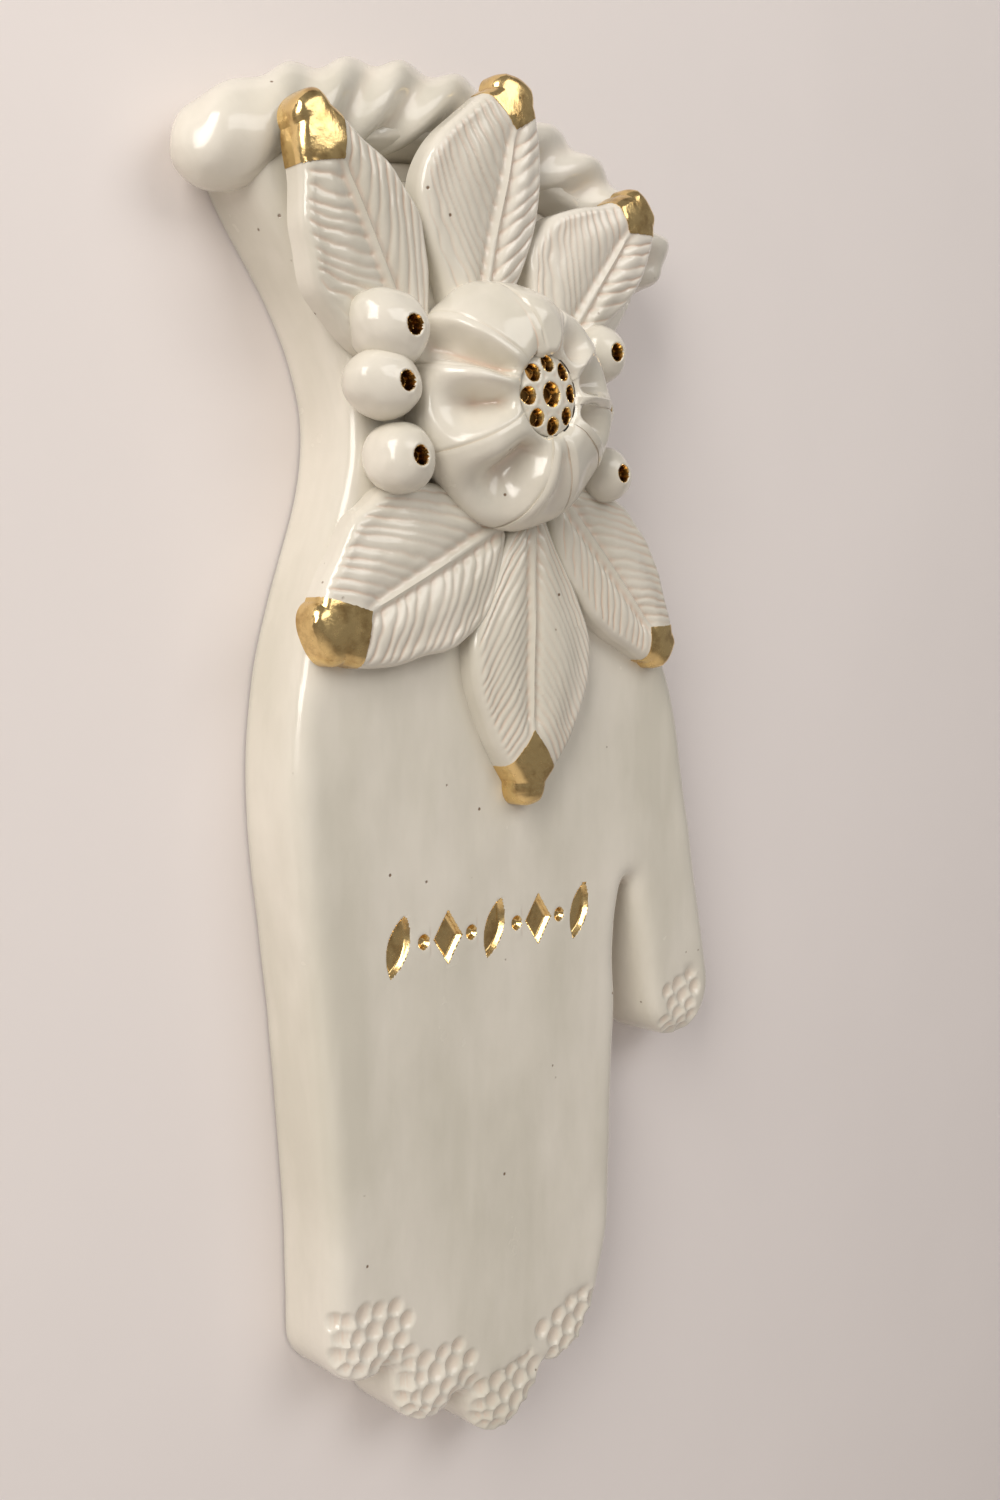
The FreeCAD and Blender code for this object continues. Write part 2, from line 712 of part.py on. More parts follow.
for feature in doc.Objects:
    faults = [state for state in feature.State if state in ("Invalid", "Error")]
    if faults:
        raise RuntimeError("%s: %s" % (feature.Name, faults))
for feature in subParts:
    shape = feature.Shape
    if shape.isNull() or not shape.isValid():
        raise RuntimeError("%s has no valid shape" % feature.Label)
    print("%-24s solids %2d volume %10.2f" % (feature.Label, len(shape.Solids), shape.Volume))
for feature in subParts:
    feature.Shape.exportStep("parts/%s.step" % feature.Label)
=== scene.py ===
import bpy
import bmesh
import json
import math
import random
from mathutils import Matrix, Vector, noise
from mathutils.bvhtree import BVHTree

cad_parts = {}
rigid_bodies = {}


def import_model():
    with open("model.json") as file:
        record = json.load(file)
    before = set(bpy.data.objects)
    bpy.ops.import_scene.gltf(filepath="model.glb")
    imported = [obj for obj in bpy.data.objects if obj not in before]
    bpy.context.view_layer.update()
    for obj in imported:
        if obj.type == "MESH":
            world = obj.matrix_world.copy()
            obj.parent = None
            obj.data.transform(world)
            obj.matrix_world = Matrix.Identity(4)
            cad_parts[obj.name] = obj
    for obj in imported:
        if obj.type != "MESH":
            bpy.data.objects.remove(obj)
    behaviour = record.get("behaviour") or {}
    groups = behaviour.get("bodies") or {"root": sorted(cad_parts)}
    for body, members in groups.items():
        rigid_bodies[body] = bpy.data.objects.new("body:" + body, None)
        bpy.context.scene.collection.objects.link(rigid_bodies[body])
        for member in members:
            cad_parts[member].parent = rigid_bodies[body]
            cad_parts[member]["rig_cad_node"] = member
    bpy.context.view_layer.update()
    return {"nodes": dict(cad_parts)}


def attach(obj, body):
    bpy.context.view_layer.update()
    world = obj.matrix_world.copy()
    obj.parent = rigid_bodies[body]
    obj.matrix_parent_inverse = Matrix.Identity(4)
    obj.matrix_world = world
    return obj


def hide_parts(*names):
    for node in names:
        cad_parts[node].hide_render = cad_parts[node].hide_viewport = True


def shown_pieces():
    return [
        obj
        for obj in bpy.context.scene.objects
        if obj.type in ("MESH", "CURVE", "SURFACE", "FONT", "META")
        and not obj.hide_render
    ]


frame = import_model()
nodes = frame["nodes"]
mm = 0.001
tolerance = 0.01 * mm


# small helpers

def deselectAll():
    if bpy.context.object and bpy.context.object.mode != "OBJECT":
        bpy.ops.object.mode_set(mode="OBJECT")
    bpy.ops.object.select_all(action="DESELECT")


def pick(*pieces):
    deselectAll()
    for piece in pieces:
        piece.select_set(True)
    bpy.context.view_layer.objects.active = pieces[0]


def editAll(piece):
    pick(piece)
    bpy.ops.object.mode_set(mode="EDIT")
    bpy.ops.mesh.select_all(action="SELECT")


def leaveEdit():
    bpy.ops.object.mode_set(mode="OBJECT")


def named(name):  # the piece just added, under its own name
    piece = bpy.context.object
    piece.name = piece.data.name = name
    return piece


def settle(piece):  # the place goes into the mesh, and the object back to the origin
    pick(piece)
    bpy.ops.object.transform_apply(location=True, rotation=True, scale=True)


def modify(piece, kind, **settings):
    pick(piece)
    modifier = piece.modifiers.new(kind.title(), kind)
    for name, value in settings.items():
        setattr(modifier, name, value)
    bpy.ops.object.modifier_apply(modifier=modifier.name)


def copyOf(piece, name):
    twin = piece.copy()
    twin.data = piece.data.copy()
    twin.name = twin.data.name = name
    twin.parent = None
    for key in [key for key in twin.keys() if key.startswith("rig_")]:
        del twin[key]
    bpy.context.scene.collection.objects.link(twin)
    return twin


def weld(piece, distance=2 * tolerance):
    editAll(piece)
    bpy.ops.mesh.remove_doubles(threshold=distance)
    leaveEdit()


def faceOut(piece):
    editAll(piece)
    bpy.ops.mesh.normals_make_consistent(inside=False)
    leaveEdit()


def cutAway(piece, place, normal, fill):  # takes off what lies on the normal's side
    editAll(piece)
    bpy.ops.mesh.bisect(plane_co=place, plane_no=normal, use_fill=fill, clear_outer=True)
    leaveEdit()


def keepFaces(piece, wanted):
    cage = bmesh.new()
    cage.from_mesh(piece.data)
    spare = [face for face in cage.faces if not wanted(face)]
    bmesh.ops.delete(cage, geom=spare, context="FACES")
    cage.to_mesh(piece.data)
    cage.free()


def smooth(piece, degrees=60):
    pick(piece)
    bpy.ops.object.shade_smooth_by_angle(angle=math.radians(degrees))


def finishPiece(piece, material, slot, *replaced):
    piece.data.materials.clear()
    piece.data.materials.append(material)
    for face in piece.data.polygons:
        face.material_index = 0
    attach(piece, "root")
    if replaced:
        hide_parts(*replaced)


def spread(stations, values, place):  # smooth curve through values at the stations
    place = min(max(place, stations[0]), stations[-1])
    last = len(stations) - 1
    index = 0
    while index < last - 1 and place > stations[index + 1]:
        index += 1
    gap = stations[index + 1] - stations[index]
    share = (place - stations[index]) / gap
    before = index - 1 if index else index
    after = index + 2 if index + 2 <= last else last
    slopeA = (values[index + 1] - values[before]) / (stations[index + 1] - stations[before]) * gap
    slopeB = (values[after] - values[index]) / (stations[after] - stations[index]) * gap
    square = share * share
    cube = square * share
    return ((2 * cube - 3 * square + 1) * values[index] + (cube - 2 * square + share) * slopeA
            + (3 * square - 2 * cube) * values[index + 1] + (cube - square) * slopeB)


def ease(low, high, value):
    share = min(max((value - low) / (high - low), 0), 1)
    return share * share * (3 - 2 * share)


def hill(away, width):  # a soft hump, one at its middle
    return math.exp(-(away / width) ** 2)


def push(piece, how):  # every point goes out along its normal by how(point)
    mesh = piece.data
    points = [vertex.co.copy() for vertex in mesh.vertices]
    ways = [vertex.normal.copy() for vertex in mesh.vertices]
    moved = [point + way * how(point) for point, way in zip(points, ways)]
    mesh.vertices.foreach_set("co", [part for point in moved for part in point])
    mesh.update()


def lump(point, scale, seed):  # soft noise about zero, scale in metres
    return noise.noise(Vector((point.x / scale + seed, point.y / scale, point.z / scale)))


def roundWay(degrees):  # direction in the wall's plane, from the right and upwards
    turn = math.radians(degrees)
    return Vector((math.cos(turn), 0, math.sin(turn)))


# materials

glazeLook = {
    "body": (0.80, 0.75, 0.66, 1),
    # colour for hollows: partly glaze pooling, partly painted shade
    "poolShade": (0.70, 0.51, 0.38, 1),
    "cool": (0.66, 0.62, 0.525, 1),
    "pinhole": (0.20, 0.13, 0.08, 1),
    "cloudScale": 34,
    "dripScale": 140,
    "pinholeScale": 260,
    "pinholeSpread": 95,
    "shineScale": 60,
    "shine": (0.14, 0.30),
    "coat": 0.35,
    "coatRoughness": 0.06,
    "bending": 1.52,
    "rippleScale": 210,
    "ripple": 0.22 * mm,
    "peelScale": 900,
    "peel": 0.03 * mm,
    "pinholeDepth": 0.2 * mm,
    "poolShadeBend": 1300,
    "poolShadeLimit": 0.7,
}
goldLook = {
    "bright": (0.83, 0.60, 0.27, 1),
    "worn": (0.42, 0.25, 0.09, 1),
    # colour of the painted shade deep inside the gilt pits
    "deep": (0.17, 0.085, 0.022, 1),
    "patchScale": 260,
    "shineScale": 480,
    "shine": (0.11, 0.30),
    "dentScale": 420,
    "dent": 0.16 * mm,
    "strokeScale": 1600,
    "stroke": 0.04 * mm,
}
bareLook = {
    "light": (0.74, 0.64, 0.53, 1),
    "dark": (0.60, 0.50, 0.40, 1),
    "grainScale": 900,
    "grain": 0.12 * mm,
    "washScale": 28,
    "roughness": 0.85,
    "dragScale": 120,
    "drag": 0.3 * mm,
}


def findPoolsAndShade(piece):  # glaze gathers where the clay is hollow, and those hollows also get painted warm shade
    mesh = piece.data
    points = [vertex.co.copy() for vertex in mesh.vertices]
    ways = [vertex.normal.copy() for vertex in mesh.vertices]
    values = [0.0] * len(points)
    counts = [0] * len(points)
    for edge in mesh.edges:
        first, second = edge.vertices
        run = points[second] - points[first]
        square = run.length_squared
        if square < 1e-14:  # an edge without length has no bend
            continue
        bend = (ways[second] - ways[first]).dot(run) / square
        for index in (first, second):
            values[index] += bend
            counts[index] += 1
    hollow = [-value / max(count, 1) / glazeLook["poolShadeBend"] for value, count in zip(values, counts)]
    field = mesh.attributes.new("pool_and_shade", "FLOAT", "POINT")
    field.data.foreach_set("value", [min(max(value, 0), glazeLook["poolShadeLimit"]) for value in hollow])


def newMaterial(name):
    material = bpy.data.materials.new(name)
    material.use_nodes = True
    return material, material.node_tree, material.node_tree.nodes["Principled BSDF"]


def addNode(tree, kind, **settings):
    node = tree.nodes.new(kind)
    for name, value in settings.items():
        if name in node.inputs.keys():
            node.inputs[name].default_value = value
        else:
            setattr(node, name, value)
    return node


def objectPlace(tree):
    return addNode(tree, "ShaderNodeTexCoord").outputs["Object"]


def noiseNode(tree, where, scale, detail, rough=0.5, stretch=(1, 1, 1)):
    turn = addNode(tree, "ShaderNodeMapping")
    turn.inputs["Scale"].default_value = stretch
    tree.links.new(where, turn.inputs["Vector"])
    node = addNode(tree, "ShaderNodeTexNoise", Scale=scale, Detail=detail, Roughness=rough)
    tree.links.new(turn.outputs["Vector"], node.inputs["Vector"])
    return node.outputs["Fac"]


def rampNode(tree, source, low, high, dark=0.0, light=1.0):  # grey dark at low and light at high
    ramp = tree.nodes.new("ShaderNodeValToRGB")
    for element, place, grey in zip(ramp.color_ramp.elements, (low, high), (dark, light)):
        element.position = place
        element.color = (grey, grey, grey, 1)
    tree.links.new(source, ramp.inputs["Fac"])
    return ramp.outputs["Color"]


def mixColour(tree, share, first, second):
    mixer = addNode(tree, "ShaderNodeMix", data_type="RGBA")
    for socket, value in ((mixer.inputs[0], share), (mixer.inputs[6], first), (mixer.inputs[7], second)):
        if isinstance(value, bpy.types.NodeSocket):
            tree.links.new(value, socket)
        else:
            socket.default_value = value
    return mixer.outputs[2]


def bumpNode(tree, height, distance, strength, before=None):
    bump = addNode(tree, "ShaderNodeBump", Distance=distance, Strength=strength)
    tree.links.new(height, bump.inputs["Height"])
    if before:
        tree.links.new(before, bump.inputs["Normal"])
    return bump.outputs["Normal"]


def glazeMaterial():
    look = glazeLook
    material, tree, shader = newMaterial("cream_glaze")
    place = objectPlace(tree)
    clouds = noiseNode(tree, place, look["cloudScale"], 5, 0.55, (1, 1, 0.45))
    colour = mixColour(tree, rampNode(tree, clouds, 0.38, 0.66), look["cool"], look["body"])
    drips = noiseNode(tree, place, look["dripScale"], 3, 0.5, (1, 1, 0.16))
    colour = mixColour(tree, rampNode(tree, drips, 0.52, 0.74, 0, 0.35), colour, look["body"])
    # hollows turn warmer and darker: partly glaze pooling, partly painted shade
    pool_and_shade = addNode(tree, "ShaderNodeAttribute", attribute_name="pool_and_shade").outputs["Fac"]
    colour = mixColour(tree, pool_and_shade, colour, look["poolShade"])
    specks = addNode(tree, "ShaderNodeTexVoronoi", Scale=look["pinholeScale"], Randomness=1.0)
    tree.links.new(place, specks.inputs["Vector"])
    dots = rampNode(tree, specks.outputs["Distance"], 0.055, 0.10, 1, 0)
    rare = rampNode(tree, noiseNode(tree, place, look["pinholeSpread"], 2), 0.60, 0.64)
    holes = mixColour(tree, dots, (0, 0, 0, 1), rare)
    colour = mixColour(tree, holes, colour, look["pinhole"])
    tree.links.new(colour, shader.inputs["Base Color"])
    shine = rampNode(tree, noiseNode(tree, place, look["shineScale"], 4, 0.6), 0.3, 0.75, *look["shine"])
    tree.links.new(shine, shader.inputs["Roughness"])
    shader.inputs["IOR"].default_value = look["bending"]
    shader.inputs["Coat Weight"].default_value = look["coat"]
    shader.inputs["Coat Roughness"].default_value = look["coatRoughness"]
    ripple = noiseNode(tree, place, look["rippleScale"], 2, 0.45, (1, 1, 0.4))
    normal = bumpNode(tree, ripple, look["ripple"], 0.5)
    peel = noiseNode(tree, place, look["peelScale"], 2)
    normal = bumpNode(tree, peel, look["peel"], 0.5, normal)
    normal = bumpNode(tree, holes, -look["pinholeDepth"], 0.6, normal)
    tree.links.new(normal, shader.inputs["Normal"])
    return material


def goldMaterial():
    look = goldLook
    material, tree, shader = newMaterial("gold_lustre")
    place = objectPlace(tree)
    patches = noiseNode(tree, place, look["patchScale"], 4, 0.6)
    colour = mixColour(tree, rampNode(tree, patches, 0.26, 0.52), look["worn"], look["bright"])
    # painted shade: the gilt turns darker the deeper it lies in its pit
    deep = addNode(tree, "ShaderNodeAttribute", attribute_name="deep").outputs["Fac"]
    colour = mixColour(tree, deep, colour, look["deep"])
    tree.links.new(colour, shader.inputs["Base Color"])
    shader.inputs["Metallic"].default_value = 1.0
    shine = rampNode(tree, noiseNode(tree, place, look["shineScale"], 3, 0.6), 0.3, 0.7, *look["shine"])
    tree.links.new(shine, shader.inputs["Roughness"])
    normal = bumpNode(tree, noiseNode(tree, place, look["dentScale"], 3), look["dent"], 0.7)
    strokes = noiseNode(tree, place, look["strokeScale"], 2, 0.5, (1, 1, 0.3))
    normal = bumpNode(tree, strokes, look["stroke"], 0.5, normal)
    tree.links.new(normal, shader.inputs["Normal"])
    return material


def bareMaterial():
    look = bareLook
    material, tree, shader = newMaterial("bare_clay")
    place = objectPlace(tree)
    grain = noiseNode(tree, place, look["grainScale"], 4, 0.7)
    wash = noiseNode(tree, place, look["washScale"], 4, 0.6)
    colour = mixColour(tree, rampNode(tree, wash, 0.35, 0.7), look["dark"], look["light"])
    colour = mixColour(tree, rampNode(tree, grain, 0.3, 0.75, 0, 0.35), colour, look["light"])
    tree.links.new(colour, shader.inputs["Base Color"])
    shader.inputs["Roughness"].default_value = look["roughness"]
    normal = bumpNode(tree, grain, look["grain"], 0.6)
    drag = noiseNode(tree, place, look["dragScale"], 3, 0.6, (1, 1, 3))
    normal = bumpNode(tree, drag, look["drag"], 0.4, normal)
    tree.links.new(normal, shader.inputs["Normal"])
    return material


glaze = glazeMaterial()
gold = goldMaterial()
bare = bareMaterial()
print("materials done")


# twisted rim: a flattened bar of clay wound on itself and bent along the cuff's arch

rim = {
    "span": 108 * mm,
    "crown": 16.5 * mm,
    "rise": 17 * mm,
    "thick": 17 * mm,
    "pitch": 50 * mm,
    "shift": 2 * mm,
    "overhangShare": 0.3125,
    "edges": 4,
    "waist": 0.21,
    "around": 64,
    "along": 220,
    "firstTurn": 200,
    "leftEnd": 13 * mm,
    "rightEnd": 6 * mm,
    "tipShare": 0.1,
    "plumpness": 0.7,
    "plumpTo": 0.3,
    "wobble": 0.07,
    "clearance": 0.05 * mm,
    "voxel": 0.55 * mm,
    "dent": 0.22 * mm,
    "dentScale": 7 * mm,
}


def rimArch():
    radius = (rim["span"] ** 2 / 4 + rim["crown"] ** 2) / (2 * rim["crown"])
    return radius, Vector((0, 0, rim["rise"] + rim["crown"] - radius))


def woundBar(length):  # straight along z, with rounded edges and hollow flanks between
    deselectAll()
    bpy.ops.mesh.primitive_circle_add(vertices=rim["around"], radius=rim["thick"] / 2, fill_type="NOTHING")
    bar = named("rim_coil")
    for vertex in bar.data.vertices:
        turn = math.atan2(vertex.co.y, vertex.co.x)
        vertex.co *= 1 - rim["waist"] * math.sin(rim["edges"] * turn / 2) ** 2
    modify(bar, "SCREW", axis="Z", angle=-2 * math.pi * length / rim["pitch"], screw_offset=length,
           steps=rim["along"], render_steps=rim["along"], use_merge_vertices=False)
    pick(bar)
    bpy.ops.object.mode_set(mode="EDIT")
    bpy.ops.mesh.select_all(action="DESELECT")
    bpy.ops.mesh.select_mode(type="EDGE")
    bpy.ops.mesh.select_non_manifold(extend=False)
    bpy.ops.mesh.fill_holes(sides=0)
    bpy.ops.mesh.select_mode(type="VERT")
    leaveEdit()
    return bar


def buildRim():
    radius, centre = rimArch()
    half = math.asin(rim["span"] / 2 / radius) + rim["overhangShare"] * rim["thick"] / radius
    length = 2 * half * radius
    bar = woundBar(length)
    start = -half - rim["shift"] / radius
    for vertex in bar.data.vertices:
        along = vertex.co.z / length
        nearest = min(along * length / rim["leftEnd"], (1 - along) * length / rim["rightEnd"], 1)
        swell = math.sqrt(max(1 - (1 - nearest) ** 2, 0)) * (1 - rim["tipShare"]) + rim["tipShare"]
        wobble = 1 + rim["wobble"] * noise.noise(Vector((along * 9, 2.7, vertex.co.x / mm * 0.05)))
        full = 1 - rim["plumpness"] * (1 - ease(0.05, rim["plumpTo"], along))  # plumper at the left end
        slim = 1 - 0.05 * ease(0.2, 0.02, along)
        reach = math.hypot(vertex.co.x, vertex.co.y) * full + rim["thick"] / 2 * (1 - full)
        reach *= swell * wobble * slim
        turn = math.atan2(vertex.co.y, vertex.co.x) + math.radians(rim["firstTurn"])
        x, y = reach * math.cos(turn), reach * math.sin(turn)
        bow = start + 2 * half * along
        out = Vector((math.sin(bow), 0, math.cos(bow)))
        vertex.co = centre + out * (radius + x) + Vector((0, -rim["thick"] / 2 - y, 0))
    faceOut(bar)
    cutAway(bar, (0, -rim["clearance"], 0), (0, 1, 0), True)
    modify(bar, "REMESH", mode="VOXEL", voxel_size=rim["voxel"], adaptivity=0)
    modify(bar, "SMOOTH", factor=0.5, iterations=3)
    push(bar, lambda point: lump(point, rim["dentScale"], 5.5) * rim["dent"])
    smooth(bar, 80)
    return bar


rimCoil = buildRim()
finishPiece(rimCoil, glaze, "cream_glaze", "rim_rope")
print("rim done", len(rimCoil.data.polygons))


# hand body: the two clay halves, softened as one and parted again along their seam

hand = {
    "front": -15 * mm,
    "seam": -4.5 * mm,
    "voxel": 1.2 * mm,
    "spareBack": 4 * mm,
    "wave": 0.25 * mm,
    "waveScale": 26 * mm,
    "fineWave": 0.15 * mm,
    "fineWaveScale": 9 * mm,
    "gapDepth": 8.5 * mm,
    "gapWidth": 2.8 * mm,
    "gapShare": 0.6,
    "gapStart": (-38 * mm, -28 * mm),
    "frontBand": 2 * mm,
    "backBand": 1 * mm,
    "dimpleDepth": 1.15 * mm,
    "dimpleRadius": 2.3 * mm,
    "dimpleSizes": (0.85, 1.12),
    "dimpleStray": 0.45,
    "dimpleStart": 1 * mm,
    "dimpleReach": 5 * mm,
    "fineness": 2,
}
# pressed fingertip patches, in millimetres: first centre, step along a row, step to the next
# row, columns, rows
dimplePatches = [
    ((-38.1, -184.8), (4.0, -0.3), (0.5, -3.6), 5, 3),
    ((-23.0, -199.2), (4.2, -0.1), (0.6, -3.5), 5, 4),
    ((-4.9, -212.4), (4.3, 0.8), (0.9, -3.6), 5, 4),
    ((17.6, -204.6), (4.3, 1.2), (1.4, -3.5), 4, 4),
    ((58.4, -141.2), (4.1, 1.2), (-0.3, -3.6), 3, 4),
]
# how far a patch reaches past its outer centres, in millimetres, and how far back it goes
patchMargin = {"side": 4, "end": 4, "below": 6, "back": -7 * mm}
stamps = {
    "count": 5,
    "pitch": 12.4 * mm,
    "tall": 11.0 * mm,
    "middle": (3.6 * mm, -118.5 * mm),
    "depth": 1.1 * mm,
    "dot": 1.1 * mm,
    "leafShare": 0.2,
    "leafLean": 18,
    "lozengeShares": (0.30, 0.42),
    "wall": 1.0 * mm,
    "lip": 0.08 * mm,
    "spill": 0.36 * mm,
    "film": 0.12 * mm,
    "reach": 1.6 * mm,
    "plugDeep": 3.6 * mm,
    "fineness": 5,
}


def stampShapes():  # name, kind and centre of each pressed shape
    shapes = []
    middle = (stamps["count"] - 1) / 2
    for number in range(stamps["count"]):
        x = stamps["middle"][0] + (number - middle) * stamps["pitch"]
        kind = "lozenge" if number % 2 else "leaf"
        shapes.append(("gilt_%s_%d" % (kind, number // 2 + 1), kind, x, stamps["middle"][1]))
    for number in range(stamps["count"] - 1):
        x = stamps["middle"][0] + (number + 0.5 - middle) * stamps["pitch"]
        shapes.append(("gilt_dots", "dot", x, stamps["middle"][1]))
    return shapes


def stampEdge(kind, x, z):  # distance to the shape's edge, less than zero inside
    tall = stamps["tall"]
    if kind == "dot":
        return math.hypot(x, z) - stamps["dot"]
    if kind == "lozenge":
        wide, high = [share * tall for share in stamps["lozengeShares"]]
        return (abs(x) * high + abs(z) * wide - wide * high) / math.hypot(wide, high)
    lean = math.radians(stamps["leafLean"])
    across = x * math.cos(lean) - z * math.sin(lean)
    along = x * math.sin(lean) + z * math.cos(lean)
    half, wide = tall / 2, stamps["leafShare"] * tall
    radius = (half ** 2 + wide ** 2) / (2 * wide)
    return math.hypot(abs(across) + radius - wide, along) - radius


def pressed(x, z):  # how far the palm is pushed in by the stamps
    depth = 0
    wall = stamps["wall"]
    for name, kind, centreX, centreZ in stampShapes():
        if abs(x - centreX) > stamps["tall"] or abs(z - centreZ) > stamps["tall"]:
            continue
        edge = stampEdge(kind, x - centreX, z - centreZ)
        depth = max(depth, ease(wall / 2, -wall / 2, edge) * stamps["depth"])
        if edge > 0:
            depth -= hill(edge - wall, wall) * stamps["lip"]
    return depth


def stampPlug():  # clay that fills the solid's own pressed row, so that it can be pressed again
    middleX, middleZ = stamps["middle"]
    deep = stamps["plugDeep"]
    behindFace = hand["front"] + deep / 2
    deselectAll()
    bpy.ops.mesh.primitive_cube_add(size=1, location=(middleX, behindFace, middleZ))
    plug = named("stamp_plug")
    plug.scale = (stamps["pitch"] * stamps["count"], deep, stamps["tall"] * 1.3)
    settle(plug)
    return plug


def wholeHand():
    shell = copyOf(nodes["hand_shell"], "hand_clay")
    slab = copyOf(nodes["back_slab"], "slab_clay")
    plug = stampPlug()
    for piece in (shell, slab):
        weld(piece)
    for vertex in slab.data.vertices:  # thicker behind for now, so that the cut back edge is clean
        if vertex.co.y > -tolerance:
            vertex.co.y = hand["spareBack"]
    pick(shell, slab, plug)
    bpy.ops.object.join()
    modify(shell, "REMESH", mode="VOXEL", voxel_size=hand["voxel"], adaptivity=0)
    modify(shell, "SMOOTH", factor=0.5, iterations=3)
    return shell


def refine(piece, near, cuts):  # finer mesh where the wanted faces are
    pick(piece)
    bpy.ops.object.mode_set(mode="EDIT")
    bpy.ops.mesh.select_all(action="DESELECT")
    cage = bmesh.from_edit_mesh(piece.data)
    for face in cage.faces:
        face.select = near(face.calc_center_median())
    bmesh.update_edit_mesh(piece.data)
    bpy.ops.mesh.subdivide(number_cuts=cuts, smoothness=0)
    leaveEdit()


def dimpleCentres(piece):
    random.seed(4)
    stray = hand["dimpleStray"]
    centres = []
    skin = BVHTree.FromPolygons([vertex.co for vertex in piece.data.vertices],
                                [face.vertices for face in piece.data.polygons])
    for first, along, down, columns, rows in dimplePatches:
        for row in range(rows + 1):
            for column in range(columns):
                step = column + (0.5 if row % 2 else 0.0)
                x = first[0] + along[0] * step + down[0] * row + random.uniform(-stray, stray)
                z = first[1] + along[1] * step + down[1] * row + random.uniform(-stray, stray)
                # past the flat face the rows go on over the rounded edge
                start = Vector((x * mm, hand["front"] - hand["dimpleStart"], z * mm))
                spot, normal, index, gap = skin.find_nearest(start)
                if gap < hand["dimpleReach"]:
                    size = hand["dimpleRadius"] * random.uniform(*hand["dimpleSizes"])
                    centres.append((spot, size))
    return centres


def nearPatch(point):
    if point.y > patchMargin["back"]:
        return False
    x, z = point.x / mm, point.z / mm
    for first, along, down, columns, rows in dimplePatches:
        right = first[0] + along[0] * columns + patchMargin["end"]
        bottom = first[1] + down[1] * rows - patchMargin["below"]
        if first[0] - patchMargin["side"] < x < right and bottom < z < first[1] + patchMargin["side"]:
            return True
    return False


def nearStamps(point):
    x, z = point.x - stamps["middle"][0], point.z - stamps["middle"][1]
    onFront = point.y < hand["front"] + stamps["reach"] / 2
    return onFront and abs(x) < stamps["pitch"] * stamps["count"] / 2 and abs(z) < stamps["tall"] * 0.6


def waveHand(piece):  # uneven hand-made surface under the glaze, and the dark gap below the rim
    radius, centre = rimArch()
    gapLine = radius - rim["thick"] * hand["gapShare"]

    def wave(point):
        height = lump(point, hand["waveScale"], 3.1) * hand["wave"]
        height += lump(point, hand["fineWaveScale"], 8.7) * hand["fineWave"]
        if point.y < hand["front"] + hand["frontBand"] and point.z > 0:
            away = math.hypot(point.x, point.z - centre.z) - gapLine
            height -= hand["gapDepth"] * hill(away, hand["gapWidth"]) * ease(*hand["gapStart"], point.x)
        return height

    push(piece, wave)


def dentFingertips(piece):
    centres = dimpleCentres(piece)

    def dent(point):
        if not nearPatch(point):
            return 0
        depth = 0
        for spot, size in centres:
            if abs(point.x - spot.x) < size and abs(point.z - spot.z) < size:
                away = (point - spot).length / size
                depth = max(depth, (1 - away * away) * hand["dimpleDepth"] * size / hand["dimpleRadius"])
        return -depth

    push(piece, dent)
    print("dimples", len(centres))


def pressStamps(piece):
    for vertex in piece.data.vertices:
        point = vertex.co
        if nearStamps(point):
            point.y += pressed(point.x, point.z)


def giltFilms(piece):
    for name in sorted({shape[0] for shape in stampShapes()}):
        places = [shape[1:] for shape in stampShapes() if shape[0] == name]

        def inside(face):
            point = face.calc_center_median()
            if point.y > hand["front"] + stamps["reach"]:
                return False
            return any(stampEdge(kind, point.x - x, point.z - z) < stamps["spill"] for kind, x, z in places)

        film = copyOf(piece, name + "_film")
        keepFaces(film, inside)
        modify(film, "SOLIDIFY", thickness=stamps["film"], offset=0.6)
        smooth(film)
        finishPiece(film, gold, "gold_lustre", name)


def buildHand():
    piece = wholeHand()
    waveHand(piece)
    refine(piece, nearPatch, hand["fineness"])
    refine(piece, nearStamps, stamps["fineness"])
    modify(piece, "SMOOTH", factor=0.5, iterations=1)
    dentFingertips(piece)
    pressStamps(piece)
    findPoolsAndShade(piece)
    cutAway(piece, (0, 0, 0), (0, 1, 0), True)
    back = copyOf(piece, "back_clay")
    cutAway(piece, (0, hand["seam"], 0), (0, 1, 0), True)
    cutAway(back, (0, hand["seam"], 0), (0, -1, 0), True)
    for half in (piece, back):
        smooth(half, 50)
    giltFilms(piece)
    return piece, back


handFront, handBack = buildHand()
finishPiece(handFront, glaze, "cream_glaze", "hand_shell")
finishPiece(handBack, glaze, "cream_glaze", "back_slab")
handBack.data.materials.append(bare)
for face in handBack.data.polygons:  # the face against the wall isn't glazed
    if face.normal.y > 0.7 and face.center.y > -hand["backBand"]:
        face.material_index = 1
print("hand done", len(handFront.data.polygons), len(handBack.data.polygons))


# leaves: thick pressed leaves with a midrib and slanting veins, arched over the rim

